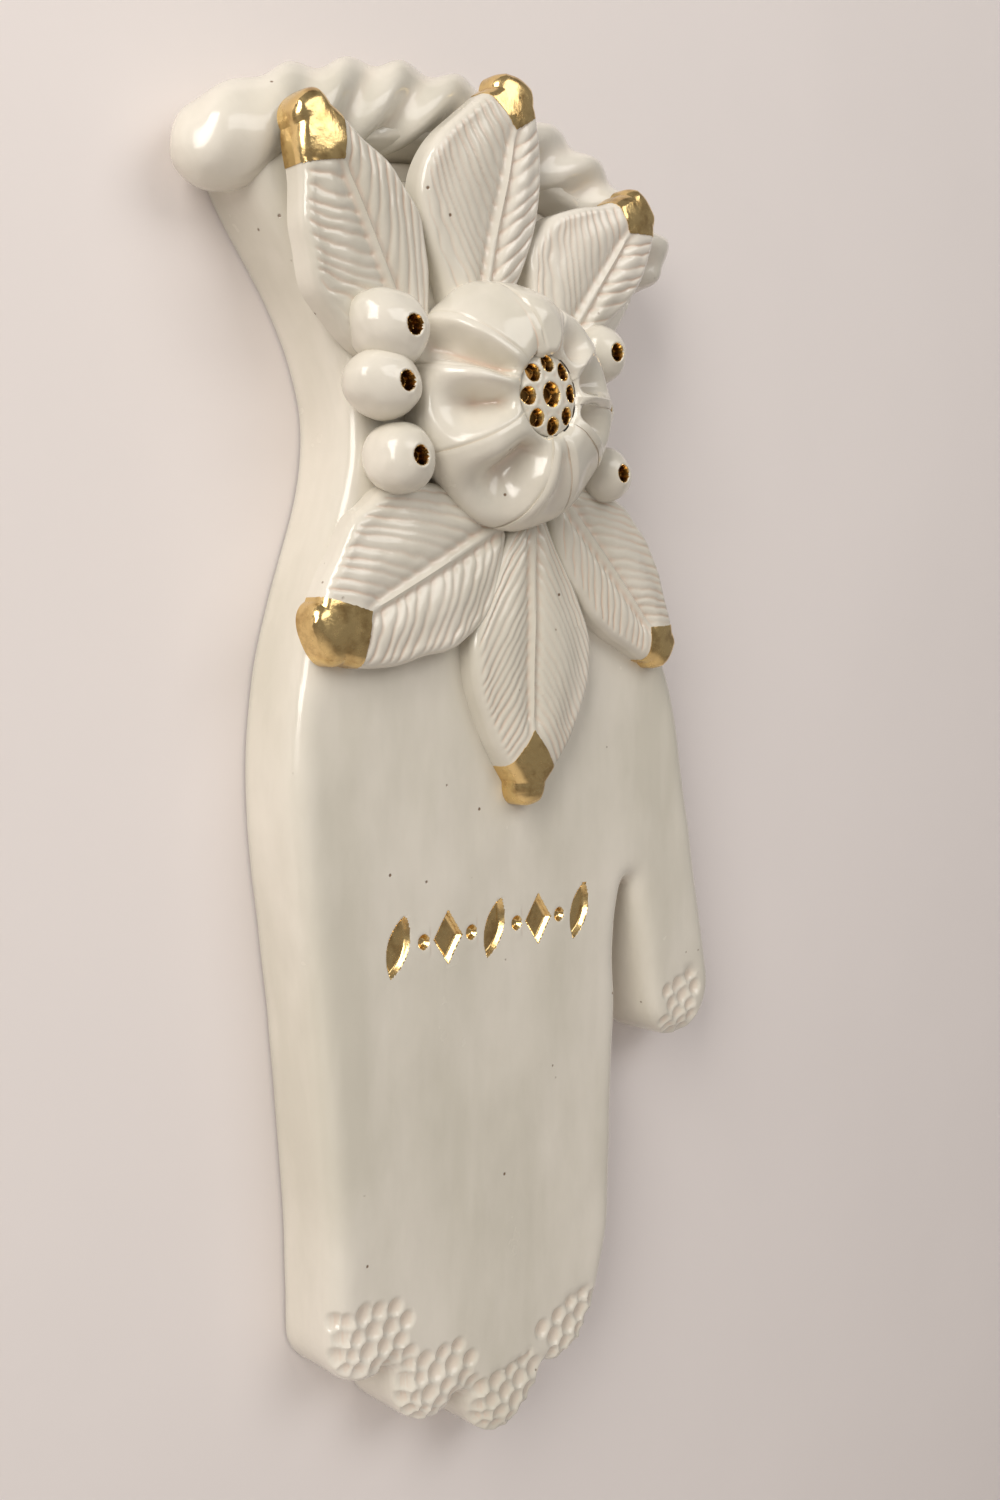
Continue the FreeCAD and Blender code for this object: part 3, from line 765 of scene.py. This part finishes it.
flower = {
    "centre": Vector((1.5 * mm, -15 * mm, -18.5 * mm)),
    "wide": 47 * mm,
    "tall": 17.5 * mm,
}
leafStations = [0.0, 0.14, 0.3, 0.45, 0.62, 0.78, 0.92, 1.0]
leafLook = {
    "thick": 4.8 * mm,
    "round": 2.3 * mm,
    "dome": 0.7 * mm,
    "tipDome": 1.0 * mm,
    "groove": 0.42 * mm,
    "grooveEdge": 1.25,
    "grooveMean": 0.75,
    "grooveStray": 0.5,
    "grooveFade": (0.4 * mm, 1.8 * mm),
    "midribFade": (0.3 * mm, 1.6 * mm),
    "veinCurl": 1.4,
    "veinStray": 0.65,
    "veinShake": 0.25,
    "rib": 0.42 * mm,
    "ribHalf": 0.62 * mm,
    "ribRoot": 1.3,
    "ribTaper": 0.7,
    "ribFade": (0.3 * mm, 2.5 * mm),
    "besideRib": 0.42 * mm,
    "besideAt": 2.1,
    "besideWidth": 0.9 * mm,
    "dent": 0.35 * mm,
    "dentScale": 12 * mm,
    "ripple": 0.05,
    "film": 0.14 * mm,
    "bed": 0.1 * mm,
    "rows": 170,
    "columns": 96,
    "lift": 2.8 * mm,
    "liftShares": [0.0, 0.0, 0.08, 0.3, 0.75, 1.0, 1.06, 1.1],
}
# name, root and tip as shares of the flower's width, gilt start, over the rim, vein angles on the two
# sides, vein gap, extra height, half widths on the two sides as shares of the length
leafPlans = [
    ("upper_left", (-0.42, 0.12), (-1.0, 0.92), 0.75, True, (70, 34), 2.4, 0.9,
     [0.12, 0.23, 0.30, 0.315, 0.275, 0.18, 0.11, 0.0], [0.08, 0.16, 0.25, 0.285, 0.24, 0.14, 0.075, 0.0]),
    ("upper_right", (0.32, 0.2), (0.79, 0.95), 0.76, True, (66, 50), 2.3, 0.9,
     [0.15, 0.28, 0.39, 0.41, 0.32, 0.18, 0.10, 0.0], [0.08, 0.11, 0.16, 0.2, 0.22, 0.2, 0.15, 0.0]),
    ("upper_middle", (-0.13, 0.2), (0.03, 1.235), 0.80, True, (60, 48), 2.3, 0.0,
     [0.1, 0.17, 0.29, 0.37, 0.36, 0.24, 0.115, 0.0], [0.1, 0.13, 0.17, 0.2, 0.2, 0.165, 0.1, 0.0]),
    ("lower_left", (0.0, -0.48), (-0.93, -0.95), 0.75, False, (54, 40), 2.5, 0.7,
     [0.08, 0.25, 0.31, 0.3, 0.26, 0.21, 0.12, 0.0], [0.1, 0.2, 0.3, 0.35, 0.32, 0.22, 0.12, 0.0]),
    ("lower_right", (0.37, -0.36), (1.07, -1.03), 0.78, False, (48, 48), 2.1, 0.7,
     [0.12, 0.22, 0.28, 0.285, 0.26, 0.2, 0.13, 0.0], [0.1, 0.19, 0.22, 0.225, 0.195, 0.145, 0.09, 0.0]),
    ("lower_middle", (0.18, -0.42), (0.16, -1.62), 0.74, False, (40, 40), 1.8, 0.0,
     [0.08, 0.15, 0.26, 0.31, 0.295, 0.215, 0.09, 0.0], [0.08, 0.14, 0.22, 0.265, 0.24, 0.16, 0.06, 0.0]),
]


def leafFrame(plan):
    root = flower["centre"] + Vector((plan[1][0], 0, plan[1][1])) * flower["wide"]
    tip = flower["centre"] + Vector((plan[2][0], 0, plan[2][1])) * flower["wide"]
    run = tip - root
    along = run.normalized()
    return root, along, Vector((along.z, 0, -along.x)), run.length


def leafRelief(plan, down, off, edge, length):  # height of ribs and grooves above the plain top
    look = leafLook
    gilt, angle, gap = plan[3], math.radians(plan[5][off > 0]), plan[6] * mm
    side = 1 if off > 0 else -1
    bow = (abs(off) / length) ** 2 * look["veinCurl"] * length  # the veins curl towards the tip
    start = down - abs(off) / math.tan(angle) - bow
    stray = noise.noise(Vector((start / length * 6, side * 3.0, plan[6] * 5)))
    shake = noise.noise(Vector((down / mm * 0.4, off / mm * 0.15, side)))
    start += (look["veinStray"] * stray + look["veinShake"] * shake) * gap
    wave = abs(math.cos(math.pi * start * math.sin(angle) / gap))
    valley = (1 - wave) ** look["grooveEdge"]
    uneven = noise.noise(Vector((start / gap * 1.7, side * 5.0, 2.2)))
    depth = look["grooveMean"] + look["grooveStray"] * uneven
    inside = ease(*look["grooveFade"], edge) * ease(*look["midribFade"], abs(off))
    inside *= ease(gilt + 0.02, gilt - 0.06, start / length)
    height = -look["groove"] * valley * inside * depth
    ribHalf = look["ribHalf"] * (look["ribRoot"] - look["ribTaper"] * down / length)
    beside = hill(abs(off) - look["besideAt"] * ribHalf, look["besideWidth"])
    fade = ease(*look["ribFade"], edge) * ease(gilt + 0.06, gilt - 0.1, down / length)
    return height + (look["rib"] * hill(off, ribHalf) - look["besideRib"] * beside) * fade


def leafHalf(widths, place, length):  # half width, with a rounded point past the last but one station
    last = leafStations[-2]
    if place > last:
        return widths[-2] * length * max(1 - ((place - last) / (1 - last)) ** 2.4, 0) ** 0.42
    return max(spread(leafStations, widths, place), 0) * length


def leafHeight(plan, place, side, edge):  # plain top of the leaf, before its relief
    look = leafLook
    lift = look["lift"] if plan[4] else 0
    rise = spread(leafStations, look["liftShares"], place) * lift + plan[7] * mm * ease(0, 0.4, place) * 0.4
    thick = look["thick"] * (0.82 + 0.18 * math.sin(min(place, 1) * math.pi))
    tipShare = ease(plan[3] - 0.06, plan[3] + 0.06, place)
    dome = look["dome"] * math.sin(min(abs(side) * 1.25, 1) * math.pi) ** 2 * (1 - tipShare)
    dome += look["tipDome"] * (1 - side * side) * tipShare
    corner = look["round"]
    fall = 0
    if edge < corner:
        fall = corner - math.sqrt(max(corner ** 2 - (corner - edge) ** 2, 0))
    return rise + thick + dome - fall


def buildLeaf(plan):
    root, along, across, length = leafFrame(plan)
    deselectAll()
    bpy.ops.mesh.primitive_grid_add(x_subdivisions=leafLook["columns"],
                                    y_subdivisions=leafLook["rows"], size=2)
    leaf = named("leaf_%s_clay" % plan[0])
    seed = len(plan[0]) + plan[3] * 10
    for vertex in leaf.data.vertices:
        side = math.sin(vertex.co.x * math.pi / 2)
        place = 1 - (1 - (vertex.co.y + 1) / 2) ** 1.25
        half = leafHalf(plan[8] if side < 0 else plan[9], place, length)
        half *= 1 + leafLook["ripple"] * noise.noise(Vector((place * 7 + seed, side * 0.4, 1.3)))
        off = side * half
        down = place * length
        edge = min((1 - abs(side)) * half, (1 - place) * length)
        point = root + along * down + across * off
        height = leafHeight(plan, place, side, edge) + leafRelief(plan, down, off, edge, length)
        height += lump(point, leafLook["dentScale"], seed) * leafLook["dent"]
        vertex.co = Vector((point.x, point.y - height, point.z))
    editAll(leaf)
    bpy.ops.mesh.extrude_region_move(TRANSFORM_OT_translate={"value": (0, tolerance, 0)})
    leaveEdit()
    lift = leafLook["lift"] if plan[4] else 0
    for vertex in [vertex for vertex in leaf.data.vertices if vertex.select]:
        place = min(max((vertex.co - root).dot(along) / length, 0), 1)
        rise = spread(leafStations, leafLook["liftShares"], place) * lift
        vertex.co.y = flower["centre"].y - rise + leafLook["bed"]
    weld(leaf, tolerance)
    faceOut(leaf)
    smooth(leaf)
    return leaf


def gildTip(plan, leaf):  # the coat ends along the veins that meet at the gilt's start
    root, along, across, length = leafFrame(plan)
    fork = root + along * (length * plan[3])
    halves = []
    for side in (-1, 1):
        angle = math.radians(plan[5][side > 0])
        half = copyOf(leaf, "lustre_%s_film" % plan[0])
        keepFaces(half, lambda face: face.normal.y < 0.5)
        cutAway(half, fork, -across * side, False)
        vein = along * math.cos(angle) + across * side * math.sin(angle)
        inner = Vector((vein.z, 0, -vein.x))
        if inner.dot(along) > 0:
            inner = -inner
        cutAway(half, fork, inner, False)
        halves.append(half)
    pick(*halves)
    bpy.ops.object.join()
    film = halves[0]
    weld(film)
    modify(film, "SOLIDIFY", thickness=leafLook["film"], offset=1)
    smooth(film)
    return film


for plan in leafPlans:
    leaf = buildLeaf(plan)
    film = gildTip(plan, leaf)
    finishPiece(leaf, glaze, "cream_glaze", "leaf_" + plan[0])
    finishPiece(film, gold, "gold_lustre", "lustre_" + plan[0])
print("leaves done")


# flower: ten thick petals pinched round a seed disc

petalLook = {
    "lap": 1.3 * mm,
    "tuck": 0.32 * mm,
    "along": 56,
    "across": 56,
    "skin": 1.7 * mm,
    "dent": 0.35 * mm,
    "dentScale": 6 * mm,
    "proud": 0.4 * mm,
    "hollowFrom": 0.28,
    "curlPower": 1.3,
    "growth": (0.2, 0.7),
    "foldTo": 0.5,
    "foldInwards": 0.6,
    "sinkRise": 0.7,
    "tuckBand": (1.6, 0.9),
    "liftBand": 0.6,
    "liftShare": 0.3,
}
profileStops = [0.0, 0.08, 0.22, 0.45, 0.68, 0.86, 1.0]
ridgeReach = [0.318, 0.36, 0.49, 0.74, 0.94, 1.01, 0.94]
ridgeRise = [0.90, 0.965, 0.985, 0.87, 0.62, 0.31, 0.0]
cupReach = [0.318, 0.35, 0.41, 0.56, 0.74, 0.88, 0.90]
cupRise = [0.80, 0.83, 0.77, 0.60, 0.41, 0.20, 0.0]
# each ridge between two petals: its place in degrees, how far it curls towards the middle,
# and its reach as a share of the flower's
petalRidges = [
    (4, 0, 1.03), (36, 2, 0.94), (76, 4, 0.84), (112, 6, 0.93), (147, 4, 0.96),
    (173, 2, 0.95), (212, 8, 0.97), (264, 20, 1.0), (300, 4, 1.0), (334, 0, 1.01),
]
# each petal: how deep its hollow is, where that starts to fade and where it ends on the way
# out, how narrow it is, how far it leans to one side, and how far the inner end rises
petalPlans = [
    (1.15, 0.32, 0.66, 1.5, 0.3, 0), (1.3, 0.18, 0.46, 1.8, 0.2, 0.2),
    (-0.2, 0.3, 0.9, 1.2, 0, 1.0), (0.10, 0.3, 0.9, 1.4, 0, 0.3),
    (0.95, 0.80, 1.0, 2.0, 0.3, 0), (1.1, 0.46, 0.84, 2.5, 0.45, 0),
    (1.15, 0.55, 0.88, 2.8, -0.2, 0), (0.22, 0.4, 0.95, 1.5, 0, 0),
    (0.12, 0.5, 0.95, 1.5, 0, 0), (1.1, 0.30, 0.62, 1.6, 0.2, 0),
]


def ridgeAt(number, place):
    turns, index = divmod(number, len(petalRidges))
    degrees, curl = petalRidges[index][:2]
    return degrees + 360 * turns + curl * (1 - place) ** petalLook["curlPower"]


def petalPoint(number, degrees, place, sink):
    wide, tall = flower["wide"] / 2, flower["tall"]
    own = number - 1 if degrees < ridgeAt(number, place) else number
    first, last = ridgeAt(own, place), ridgeAt(own + 1, place)
    hollow, fadeFrom, fadeTo, steep, lean, fold = petalPlans[own % len(petalPlans)]
    ridge = [spread(profileStops, shares, place) for shares in (ridgeReach, ridgeRise)]
    cup = [spread(profileStops, shares, place) for shares in (cupReach, cupRise)]
    u = min(max((degrees - first) / (last - first), 0), 1)
    across = abs(2 * (u + lean * u * (1 - u)) - 1)
    fade = ease(0.0, petalLook["hollowFrom"], place) * ease(fadeTo, fadeFrom, place)
    edge = 1 - (1 - across ** 2) ** steep * hollow * fade
    near = [petalRidges[(own + step) % len(petalRidges)][2] for step in (0, 1)]
    grown = 1 + (near[0] + (near[1] - near[0]) * u - 1) * ease(*petalLook["growth"], place)
    reach = (cup[0] + (ridge[0] - cup[0]) * edge) * wide * grown
    height = (cup[1] + (ridge[1] - cup[1]) * edge) * tall
    inner = ease(petalLook["foldTo"], 0.0, place) * fold * mm * (1 - across ** 3)
    reach -= inner * petalLook["foldInwards"] + sink
    height = min(height + inner, tall + petalLook["proud"]) - sink * petalLook["sinkRise"]
    return flower["centre"] + roundWay(degrees) * reach + Vector((0, -height, 0))


def buildPetal(number):
    lapped, tuck = petalLook["lap"], petalLook["tuck"]
    deselectAll()
    bpy.ops.mesh.primitive_grid_add(x_subdivisions=petalLook["across"],
                                    y_subdivisions=petalLook["along"], size=2)
    petal = named("petal_%02d_clay" % (number + 1))
    for vertex in petal.data.vertices:
        u, place = (vertex.co.x + 1) / 2, (vertex.co.y + 1) / 2
        reach = spread(profileStops, ridgeReach, place) * flower["wide"] / 2
        lap = math.degrees(lapped / reach)
        first, last = ridgeAt(number, place) - lap, ridgeAt(number + 1, place)
        degrees = first + (last - first) * u
        fromRidge, toRidge = [share * lap for share in petalLook["tuckBand"]]
        tucked = ease(fromRidge, toRidge, last - degrees) * tuck
        lifted = ease(petalLook["liftBand"] * lap, 0, degrees - first) * tuck * petalLook["liftShare"]
        vertex.co = petalPoint(number, degrees, place, tucked + lifted)
    push(petal, lambda point: lump(point, petalLook["dentScale"], number * 3.3) * petalLook["dent"])
    modify(petal, "SOLIDIFY", thickness=petalLook["skin"], offset=1)
    faceOut(petal)
    smooth(petal, 70)
    return petal


for number in range(len(petalPlans)):
    finishPiece(buildPetal(number), glaze, "cream_glaze", "petal_%02d" % (number + 1))
nodes["flower_core"].data.materials.clear()
nodes["flower_core"].data.materials.append(glaze)
print("petals done")


# berries and seed disc: balls of clay with gilded pits

ball = {
    "radius": 6.5 * mm,
    "sunk": 0.8 * mm,
    "clearance": 0.2 * mm,
    "bed": 0.1 * mm,
    "pit": 1.8 * mm,
    "pitDepth": 2.3 * mm,
    "film": 0.1 * mm,
    "dent": (0.07, 6 * mm),
    "fineDent": (0.025, 2.6 * mm),
}
# direction from the flower's middle, size share, how far out it sits, how much it is drawn out
berryPlans = [
    ("left_top", 163.0, 1.01, 0.93, 1.32), ("left_middle", 181.0, 0.94, 0.93, 1.36),
    ("left_bottom", 205.5, 0.96, 0.93, 1.08), ("right_top", 25.0, 0.88, 0.8, 1.05),
    ("right_middle", 2.5, 0.74, 0.2, 1.0), ("right_bottom", -21.5, 0.84, 1.25, 1.05),
]
seed = {
    "wide": 15.2 * mm,
    "tall": 3.0 * mm,
    "sunk": 0.9 * mm,
    "bed": 0.1 * mm,
    "flatness": 0.72,
    "shoulder": 0.45,
    "underShare": 0.35,
    "eye": 2.3 * mm,
    "eyeDepth": 1.9 * mm,
    "pit": 1.65 * mm,
    "pitDepth": 1.6 * mm,
    "pitDrop": 0.4 * mm,
    "ring": 0.365,
    "firstTurn": 8,
    "count": 8,
}
# a pit's parts as shares of its radius
pitShares = {"behind": 3, "around": 1.6, "mouth": 1.05, "floor": 0.6, "lipAt": 1.2, "lipWidth": 0.25,
             "lip": 0.06, "film": 0.98, "near": 2.2}
outwards = Vector((0, -1, 0))


def sinkPits(piece, pits):  # each pit: mouth centre, axis, radius, depth
    moves = []
    for vertex in piece.data.vertices:
        for mouth, axis, radius, depth in pits:
            away = vertex.co - mouth
            sideways = (away - axis * away.dot(axis)).length
            if away.dot(axis) > -pitShares["behind"] * radius and sideways < pitShares["around"] * radius:
                bowl = ease(pitShares["mouth"] * radius, pitShares["floor"] * radius, sideways)
                lip = hill(sideways - pitShares["lipAt"] * radius, pitShares["lipWidth"] * radius)
                moves.append((vertex.index, axis * (lip * pitShares["lip"] * radius - bowl * depth)))
    for index, move in moves:
        piece.data.vertices[index].co += move


def pitFilm(piece, name, pits):
    film = copyOf(piece, name)

    def inside(face):
        point = face.calc_center_median()
        for mouth, axis, radius, depth in pits:
            away = point - mouth
            sideways = (away - axis * away.dot(axis)).length
            if sideways < pitShares["film"] * radius and away.dot(axis) > -pitShares["behind"] * radius:
                return True
        return False

    keepFaces(film, inside)
    # how deep each point lies in its pit, used as painted shade in the gilt
    pitShadeShares = []
    for vertex in film.data.vertices:
        below = [-(vertex.co - mouth).dot(axis) / depth for mouth, axis, radius, depth in pits
                 if (vertex.co - mouth).length < pitShares["near"] * radius]
        pitShadeShares.append(ease(0.1, 0.75, max(below, default=0)))
    field = film.data.attributes.new("deep", "FLOAT", "POINT")
    field.data.foreach_set("value", pitShadeShares)
    modify(film, "SOLIDIFY", thickness=ball["film"], offset=1)
    smooth(film)
    return film


def buildBerry(plan):
    name, degrees, share, apart, drawn = plan
    radius = share * ball["radius"]
    reach = flower["wide"] / 2 + ball["clearance"] + apart * radius
    way = roundWay(degrees)
    centre = flower["centre"] + way * reach + outwards * (radius - ball["sunk"])
    deselectAll()
    bpy.ops.mesh.primitive_ico_sphere_add(subdivisions=6, radius=radius, location=centre)
    berry = named("berry_%s_clay" % name)
    settle(berry)
    for vertex in berry.data.vertices:
        away = vertex.co - centre
        if away.dot(way) > 0:  # luted on with the clay smeared outwards
            away += way * (drawn - 1) * away.dot(way)
        uneven = ball["dent"][0] * lump(vertex.co, ball["dent"][1], share * 20)
        uneven += ball["fineDent"][0] * lump(vertex.co, ball["fineDent"][1], share * 9)
        vertex.co = centre + away * (1 + uneven)
        vertex.co.y = min(vertex.co.y, flower["centre"].y + ball["bed"])
    pits = [(centre + outwards * radius, outwards, ball["pit"], ball["pitDepth"])]
    sinkPits(berry, pits)
    smooth(berry)
    return berry, pitFilm(berry, "lustre_berry_%s_film" % name, pits)


def buildSeed():
    radius = seed["wide"] / 2
    centre = flower["centre"] + outwards * (flower["tall"] - seed["tall"] - seed["sunk"])
    deselectAll()
    bpy.ops.mesh.primitive_ico_sphere_add(subdivisions=7, radius=1, location=(0, 0, 0))
    disc = named("seed_clay")
    for vertex in disc.data.vertices:
        unit = vertex.co.copy()
        out = math.hypot(unit.x, unit.z)
        grow = radius * (out ** seed["flatness"]) / max(out, 0.001)
        bulge = unit.y * seed["underShare"] if unit.y > 0 else -abs(unit.y) ** seed["shoulder"]
        vertex.co = centre + Vector((unit.x * grow, bulge * seed["tall"] - seed["bed"], unit.z * grow))
    mouth = centre + outwards * seed["tall"]
    eye = [(mouth, outwards, seed["eye"], seed["eyeDepth"])]
    ring = []
    for number in range(seed["count"]):
        way = roundWay(number * 360 / seed["count"] + seed["firstTurn"])
        spot = mouth + way * seed["ring"] * seed["wide"] - outwards * seed["pitDrop"]
        ring.append((spot, outwards, seed["pit"], seed["pitDepth"]))
    sinkPits(disc, eye + ring)
    smooth(disc)
    return disc, pitFilm(disc, "lustre_eye_film", eye), pitFilm(disc, "lustre_ring_film", ring)


for plan in berryPlans:
    berry, film = buildBerry(plan)
    finishPiece(berry, glaze, "cream_glaze", "berry_" + plan[0])
    finishPiece(film, gold, "gold_lustre", "lustre_berry_" + plan[0])
seedDisc, eyeFilm, ringFilm = buildSeed()
finishPiece(seedDisc, glaze, "cream_glaze", "seed_disc")
finishPiece(eyeFilm, gold, "gold_lustre", "lustre_seed_eye")
finishPiece(ringFilm, gold, "gold_lustre", "lustre_seed_ring")
print("seed and berries done")


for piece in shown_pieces():
    mesh = piece.data
    if "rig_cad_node" not in piece and mesh.materials[0] == glaze and "pool_and_shade" not in mesh.attributes:
        findPoolsAndShade(piece)
print("glaze pools done")


# wall, floor, light and camera

stageLook = {
    "wall": (0.85, 0.79, 0.765, 1),
    "floor": (0.86, 0.82, 0.79, 1),
    "size": 6,
    "gap": 0.4 * mm,
    "floorDrop": -0.8,
    "toneScale": 9,
    "darker": 0.97,
    "roughness": 0.9,
    "clearWithin": 1.5 * mm,
}
lightLook = {
    "window": ((-0.72, -0.40, 0.38), (0.35, 0.9), 7.0, (1.0, 0.96, 0.91)),
    "room": ((0.25, -0.95, 0.55), (0.9, 0.6), 3.9, (1.0, 0.98, 0.96)),
    "aim": (0, 0, -0.08),
    "sky": (1.0, 0.97, 0.95, 1),
    "skyStrength": 0.26,
}
view = {
    "place": (-0.18624, -0.20624, -0.062),
    "down": 4.615,
    "yaw": 45,
    "lens": 33.6,
    "sensor": 36,
    "nearest": 0.01,
}


def stageMaterial(name, colour, seeThrough):
    material, tree, shader = newMaterial(name)
    tone = rampNode(tree, noiseNode(tree, objectPlace(tree), stageLook["toneScale"], 3), 0.3, 0.7)
    darker = tuple(part * stageLook["darker"] for part in colour[:3]) + (1,)
    tree.links.new(mixColour(tree, tone, darker, colour), shader.inputs["Base Color"])
    shader.inputs["Roughness"].default_value = stageLook["roughness"]
    if seeThrough:
        clear = tree.nodes.new("ShaderNodeBsdfTransparent")
        behind = tree.nodes.new("ShaderNodeNewGeometry").outputs["Backfacing"]
        ray = tree.nodes.new("ShaderNodeLightPath").outputs["Ray Length"]
        close = addNode(tree, "ShaderNodeMath", operation="LESS_THAN")
        close.inputs[1].default_value = stageLook["clearWithin"]
        tree.links.new(ray, close.inputs[0])
        either = addNode(tree, "ShaderNodeMath", operation="MAXIMUM")
        tree.links.new(behind, either.inputs[0])
        tree.links.new(close.outputs[0], either.inputs[1])
        mixer = tree.nodes.new("ShaderNodeMixShader")
        tree.links.new(either.outputs[0], mixer.inputs[0])
        tree.links.new(shader.outputs[0], mixer.inputs[1])
        tree.links.new(clear.outputs[0], mixer.inputs[2])
        tree.links.new(mixer.outputs[0], tree.nodes["Material Output"].inputs["Surface"])
    return material


def stagePlane(name, place, turn, seeThrough):
    deselectAll()
    bpy.ops.mesh.primitive_plane_add(size=stageLook["size"], location=place, rotation=turn)
    plane = named(name)
    plane.data.materials.append(stageMaterial(name + "_paint", stageLook[name], seeThrough))
    return plane


def buildStage():
    wall = stagePlane("wall", (0, stageLook["gap"], 0), (math.pi / 2, 0, 0), True)
    floor = stagePlane("floor", (0, 0, stageLook["floorDrop"]), (0, 0, 0), False)


def areaLamp(name, place, size, power, colour):
    lamp = bpy.data.lights.new(name, "AREA")
    lamp.shape = "RECTANGLE"
    lamp.size, lamp.size_y = size
    lamp.energy = power
    lamp.color = colour
    holder = bpy.data.objects.new(name, lamp)
    bpy.context.scene.collection.objects.link(holder)
    holder.location = place
    aim = Vector(lightLook["aim"]) - Vector(place)
    holder.rotation_euler = aim.to_track_quat("-Z", "Y").to_euler()


def buildLight():
    areaLamp("window", *lightLook["window"])
    areaLamp("room", *lightLook["room"])
    world = bpy.data.worlds.new("sky")
    world.use_nodes = True
    bpy.context.scene.world = world
    back = world.node_tree.nodes["Background"]
    back.inputs["Color"].default_value = lightLook["sky"]
    back.inputs["Strength"].default_value = lightLook["skyStrength"]


def buildCamera():
    lens = bpy.data.cameras.new("camera")
    lens.sensor_width = view["sensor"]
    lens.lens = view["lens"]
    lens.clip_start = view["nearest"]
    holder = bpy.data.objects.new("camera", lens)
    bpy.context.scene.collection.objects.link(holder)
    holder.location = view["place"]
    holder.rotation_euler = (math.radians(90 - view["down"]), 0, math.radians(-view["yaw"]))
    bpy.context.scene.camera = holder


buildStage()
buildLight()
buildCamera()
bpy.context.scene.view_settings.view_transform = "Standard"
print("stage done")

deselectAll()
